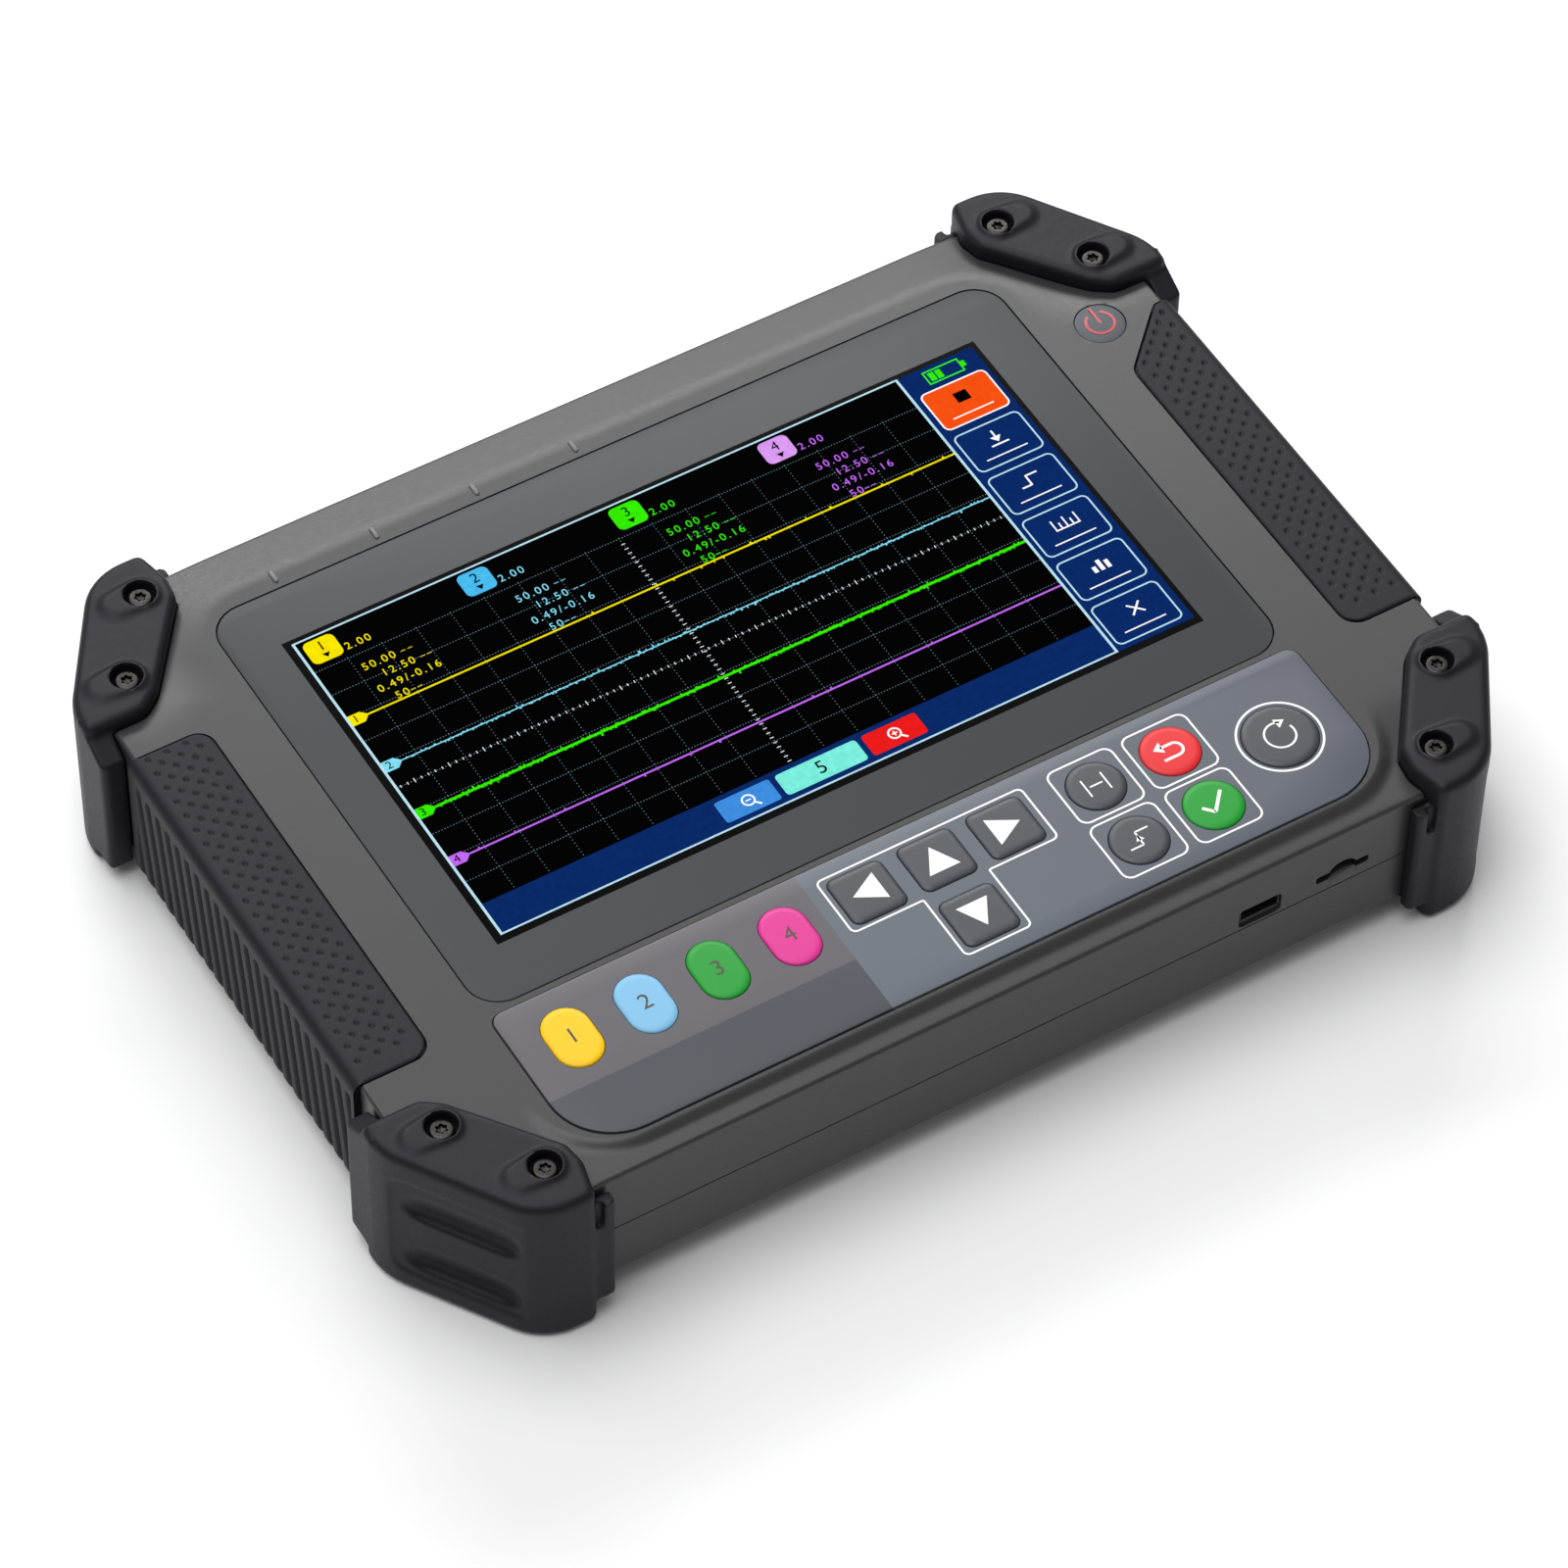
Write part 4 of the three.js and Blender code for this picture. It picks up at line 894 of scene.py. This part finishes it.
def guardPiece():
    body = roundedSlab("guard", roundOutline(guardPlan, 7), 0, guard["base"], guard["round"], 1.6, None, 5)
    side = roundedSlab("return", roundOutline(guard["side"], 4), 3.7, 36.6)
    end = roundedSlab("return", roundOutline(guard["end"], 4), 5, 33.6)
    for vertex in side.data.vertices:  # the return's top runs down to the grip
        if vertex.co.z > 30 * mm:
            vertex.co.z -= (55 * mm - vertex.co.y) * 0.55 - 1.6 * mm
    joinBodies(body, [side, end] + [swelling(x, y) for x, y in guard["screws"]], "UNION")
    cutters = [roundedSlab("cutter", shellPlan(-0.3), 4.7, 34.3)]
    cutters += [fingerGroove(z) for z in guard["grooves"]]
    cutters += [sunkPanel(), blockCutter(90.5, 92.4, 86.9, 90, 27.5, 35)]
    for x, y in guard["screws"]:
        cutters.append(roundedSlab("cutter", circle(guard["bore"], x, y, 40), guard["seatZ"], 45))
        cutters.append(roundedSlab("cutter", circle(1.9, x, y, 16), 20, 45))
    cutAway(body, cutters)
    soften = body.modifiers.new("moulded softness", "REMESH")  # rubber has no crisp edge anywhere
    soften.mode = "VOXEL"
    soften.voxel_size = guard["voxel"] * mm
    relax = body.modifiers.new("relaxed", "SMOOTH")
    relax.factor = 0.5
    relax.iterations = guard["relax"]
    settle(body)
    smoothPiece(body, 75)
    return body


quarterGuard = guardPiece()
for corner, (place, sx, sy) in corners.items():
    piece = copyMirrored(quarterGuard, f"guard{corner}", sx, sy)
    piece.data.materials.clear()
    piece.data.materials.append(guardRubber)
    mount(piece, "housing", "guard_rubber", f"guard_{place}")
bpy.data.objects.remove(quarterGuard)


def socketScrew(name, x, y, turn):  # a button head with a six-lobed socket
    top, count = 39.5, 48
    head = [(2.3, 37.8), (2.45, 38.0), (2.45, 39.05), (2.38, 39.26), (2.2, 39.42), (1.95, top), (1.4, top)]
    rings = [atHeight(circle(r, x, y, count), z) for r, z in head]
    for size, depth in ((1.04, 0.02), (0.97, 0.1), (0.94, 0.95)):
        angles = [2 * math.pi * i / count for i in range(count)]
        lobes = [around(x, y, size * (1.08 + 0.16 * math.cos(6 * (a + turn))), a) for a in angles]
        rings.append(atHeight(lobes, top - depth))
    rings.append(atHeight(circle(0.3, x, y, count), top - 1.15))
    return stackRings(name, rings, darkSteel, sharp=32)


for corner, (place, sx, sy) in corners.items():
    for number, (x, y) in enumerate(guard["screws"]):
        screw = socketScrew(f"screw{corner}{number + 1}", sx * x, sy * y, 0.35 * number + 0.2 * sx)
        mount(screw, "housing", "screw_steel", f"screw_{place}_{number + 1}")

print("grips")
grip = {
    "top": 37.4, "outer": 118.4, "shoulder": 2.4, "under": 3.0, "foot": 108.2, "footRound": 4.4,
    "front": -44.0, "rearLeft": 45.2, "rearRight": 46.6, "wall": 2.2,
    "rows": 300, "deckSteps": 52, "sideSteps": 46,
    "dimplePitch": 3.95, "dimpleRows": [104.45, 106.5, 108.55, 110.6, 112.65, 114.7], "dimpleFirst": 41.75,
    "dimpleDepth": 0.42, "ribPitch": 3.96, "ribLean": 0.132, "ribTop": 33.4, "ribDepth": 1.35,
    "rim": 0.8, "rimDrop": 0.35,
}


def gripRow(innerX):  # over the deck, round the shoulder, down the side and under: (x, z, normal's x and z)
    top, outer, shoulder, foot = grip["top"], grip["outer"], grip["shoulder"], grip["footRound"]
    ledge, bend, low = outer - shoulder, top - shoulder, grip["under"] + foot
    quarter = [(math.sin(math.pi / 2 * k / 6), math.cos(math.pi / 2 * k / 6)) for k in range(1, 7)]
    deckSteps, sideSteps = grip["deckSteps"], grip["sideSteps"]
    skin = [(innerX + (ledge - innerX) * k / deckSteps, top, 0, 1) for k in range(deckSteps + 1)]
    skin += [(ledge + shoulder * a, bend + shoulder * b, a, b) for a, b in quarter]
    skin += [(outer, bend + (low - bend) * k / sideSteps, 1, 0) for k in range(1, sideSteps + 1)]
    skin += [(outer - foot + foot * b, low - foot * a, b, -a) for a, b in quarter]
    skin += [(outer - foot - (outer - foot - grip["foot"]) * k / 3, grip["under"], 0, -1) for k in range(1, 4)]
    return skin


def gripRelief(x, y, z):  # dimples in the deck, leaning ribs down the side
    if z > grip["top"] - 0.1:
        depth = 0
        for number, rowX in enumerate(grip["dimpleRows"]):
            if abs(x - rowX) > 1:
                continue
            first = grip["dimpleFirst"] + (grip["dimplePitch"] / 2 if number % 2 else 0)
            k = round((first - y) / grip["dimplePitch"])
            if k < 0 or k > (21 if number % 2 else 20):
                continue
            d = math.hypot((x - rowX) / 0.56, (y - first + k * grip["dimplePitch"]) / 0.66)
            depth = max(depth, grip["dimpleDepth"] * (1 - smooth((d - 0.25) / 0.95)))
        return -depth
    if z < grip["ribTop"] + 1:
        phase = ((y + (grip["ribTop"] - z) * grip["ribLean"]) / grip["ribPitch"]) % 1
        valley = max(0, 1 - abs(phase - 0.5) / 0.3)
        start = smooth((grip["ribTop"] - z - 1.2 * abs(phase - 0.5)) / 1.5)
        ends = smooth((43.6 - y) / 0.8) * smooth((y + 42.8) / 0.8)
        return -grip["ribDepth"] * smooth(valley) * start * ends
    return 0


def gripPiece(name, side):
    front, rear = grip["front"], grip["rearRight"] if side > 0 else grip["rearLeft"]
    plan = mirrored(gripPlan(side), side, 1)
    points, faces = [], []
    for number in range(grip["rows"] + 1):
        y = front + (rear - front) * number / grip["rows"]
        level = min(max(y, front + 0.02), rear - 0.02)
        crossings = [a[0] + (b[0] - a[0]) * (level - a[1]) / (b[1] - a[1])
                     for a, b in zip(plan, plan[1:] + plan[:1]) if (a[1] - level) * (b[1] - level) < 0]
        skin = gripRow(min(crossings))
        for x, z, nx, nz in skin:
            relief = gripRelief(x, y, z)
            edge = min(abs(x - skin[0][0]), abs(y - front), abs(rear - y))
            if nz > 0.99 and edge < grip["rim"]:  # the rim of the pad rolls down to the deck
                relief -= grip["rimDrop"] * (1 - math.sqrt(max(0, 1 - (1 - edge / grip["rim"]) ** 2)))
            points.append((side * (x + nx * relief), y, z + nz * relief))
    width = len(skin)
    for first in range(0, grip["rows"] * width, width):
        for a in range(first, first + width - 1):
            face = (a, a + 1, a + width + 1, a + width)
            faces.append(face if side > 0 else (a,) + face[:0:-1])
    piece = makePiece(name, points, faces, gripRubber, 60)
    solid = piece.modifiers.new("wall", "SOLIDIFY")
    solid.thickness = grip["wall"] * mm
    solid.offset = -1
    settle(piece)
    smoothPiece(piece, 50)
    return piece


for name, side, node in (("gripLeft", -1, "grip_left"), ("gripRight", 1, "grip_right")):
    mount(gripPiece(name, side), "housing", "grip_rubber", node)

print("power button")
powerX, powerY, radius = powerButton["x"], powerButton["y"], powerButton["radius"]
crown = [(5.1, 36.88), (4.8, 36.98), (4.2, 37.06), (3, 37.18), (1.5, 37.27), (0.2, 37.3)]
rings = [atHeight(circle(r, powerX, powerY, 64), z) for r, z in [(radius, 34), (radius, 36.7)] + crown]
powerCap = stackRings("powerCap", rings, buttonSilicone)
mount(powerCap, "power_button", "button_grey", "power_button")
opening = math.radians(58)  # the gap in the ring, where the bar stands
rings = []
for k in range(41):
    angle = math.pi / 2 + opening / 2 + (2 * math.pi - opening) * k / 40
    section = [(2.6, 37.28), (3.2, 37.24), (3.2, 37.14), (2.6, 37.18)]
    rings.append([around(powerX, powerY, r, angle) + (z,) for r, z in section])
ring = stackRings("powerRing", rings, redInk, sharp=50)
bar = flat([leg((powerX, powerY - 0.2), (powerX, powerY + 4.3), 0.6)], 37.33, "powerBar", redInk)[0]
mount(joinPieces([ring, bar], "powerSign"), "power_button", "button_grey")

print("details")
# small raised marks behind the window, painted paler: a painted highlight on their raised faces
markX = [-72.1, -49.8, -27.4, -5.0]
marks = [roundedSlab("mark", pill(x, 72.4, 1.1, 3.3, 6), 36.4, 37.3, 0.25, 0, paleAbsPaintedHighlight, 3) for x in markX]
mount(joinPieces(marks, "rearMarks"), "housing", "housing_plastic")

# the input panel, battery cover and stand take the lighter copy of the housing plastic, painted lighter for the
# shade they lie in
cadFinish = [
    (sparkAbs, "rear_housing"), (sparkAbsLightenedForShade, "input_panel battery_cover stand"), (foam, "lcd_gasket"),
    (lcdBack, "lcd_module"), (solderMask, "key_board port_board main_board"), (tinPlate, "input_shield"),
    (blackNylon, "power_switch dc_jack usb_socket card_socket speaker"), (millAluminium, "heat_spreader"),
    (brightNickel, "test_terminal input_socket_1 input_socket_2 input_socket_3 input_socket_4"),
    (shrinkWrap, "battery_pack"), (stampedSteel, "stand_pin"), (darkSteel, "cover_screw_left cover_screw_right"),
]
for finish, nodes in cadFinish:
    for part in [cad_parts[node] for node in nodes.split()]:
        part.data.materials.clear()
        part.data.materials.append(finish)
        part.modifiers.new("weld", "WELD").merge_threshold = 0.001 * mm
        flatten = part.modifiers.new("flat faces", "DECIMATE")
        flatten.decimate_type = "DISSOLVE"
        flatten.angle_limit = math.radians(1.5)
        addBevel(part, 0.25, 35)
        part.modifiers.new("flat faces stay flat", "WEIGHTED_NORMAL")

print("stage")
stage = {"half": 1.6, "z": -0.0003, "fill": 0.25}  # metres
floorMesh = bpy.data.meshes.new("floor")
floorPlan = box(-stage["half"], stage["half"], -stage["half"], stage["half"])
floorMesh.from_pydata([(x, y, stage["z"]) for x, y in floorPlan], [], [(0, 1, 2, 3)])
floor = bpy.data.objects.new("floor", floorMesh)
scene.collection.objects.link(floor)
# matt painted board: near white, so that only the object's own shadow shows
floorMesh.materials.append(grained("pale floor", "#f6f6f6", 0.8, 3.0, 0.01, 0.004))

world = bpy.data.worlds.new("studio")
scene.world = world
world.use_nodes = True
background = world.node_tree.nodes["Background"].inputs
background["Color"].default_value = (1, 1, 1, 1)
background["Strength"].default_value = stage["fill"]


def softbox(name, place, target, size, power):
    lamp = bpy.data.lights.new(name, "AREA")
    lamp.shape = "RECTANGLE"
    lamp.size, lamp.size_y = size
    lamp.energy = power
    holder = bpy.data.objects.new(name, lamp)
    scene.collection.objects.link(holder)
    holder.location = place
    holder.rotation_euler = (Vector(target) - Vector(place)).to_track_quat("-Z", "Y").to_euler()


softbox("overhead softbox", (-0.35, 0.2, 1.65), (0, 0, 0), (1.8, 1.5), 28)
softbox("rear softbox", (0.4, 0.9, 0.74), (0, 0, 0.02), (1.0, 0.3), 9)

view = {
    "azimuth": -31.67, "elevation": 50.97, "roll": 1.02, "distance": 1.377,  # degrees and metres
    "target": (-0.0131, -0.0222, 0.037), "lens": 166.4,
}
azimuth, elevation = math.radians(view["azimuth"]), math.radians(view["elevation"])
level = math.cos(elevation)
back = Vector((math.sin(azimuth) * level, -math.cos(azimuth) * level, math.sin(elevation)))
cameraData = bpy.data.cameras.new("camera")
cameraData.lens = view["lens"]
cameraData.sensor_width = 36
cameraData.clip_start = 0.05
camera = bpy.data.objects.new("camera", cameraData)
scene.collection.objects.link(camera)
camera.location = Vector(view["target"]) + back * view["distance"]
camera.rotation_mode = "QUATERNION"
roll = Matrix.Rotation(math.radians(view["roll"]), 3, "Z").to_quaternion()
camera.rotation_quaternion = (-back).to_track_quat("-Z", "Y") @ roll
scene.camera = camera
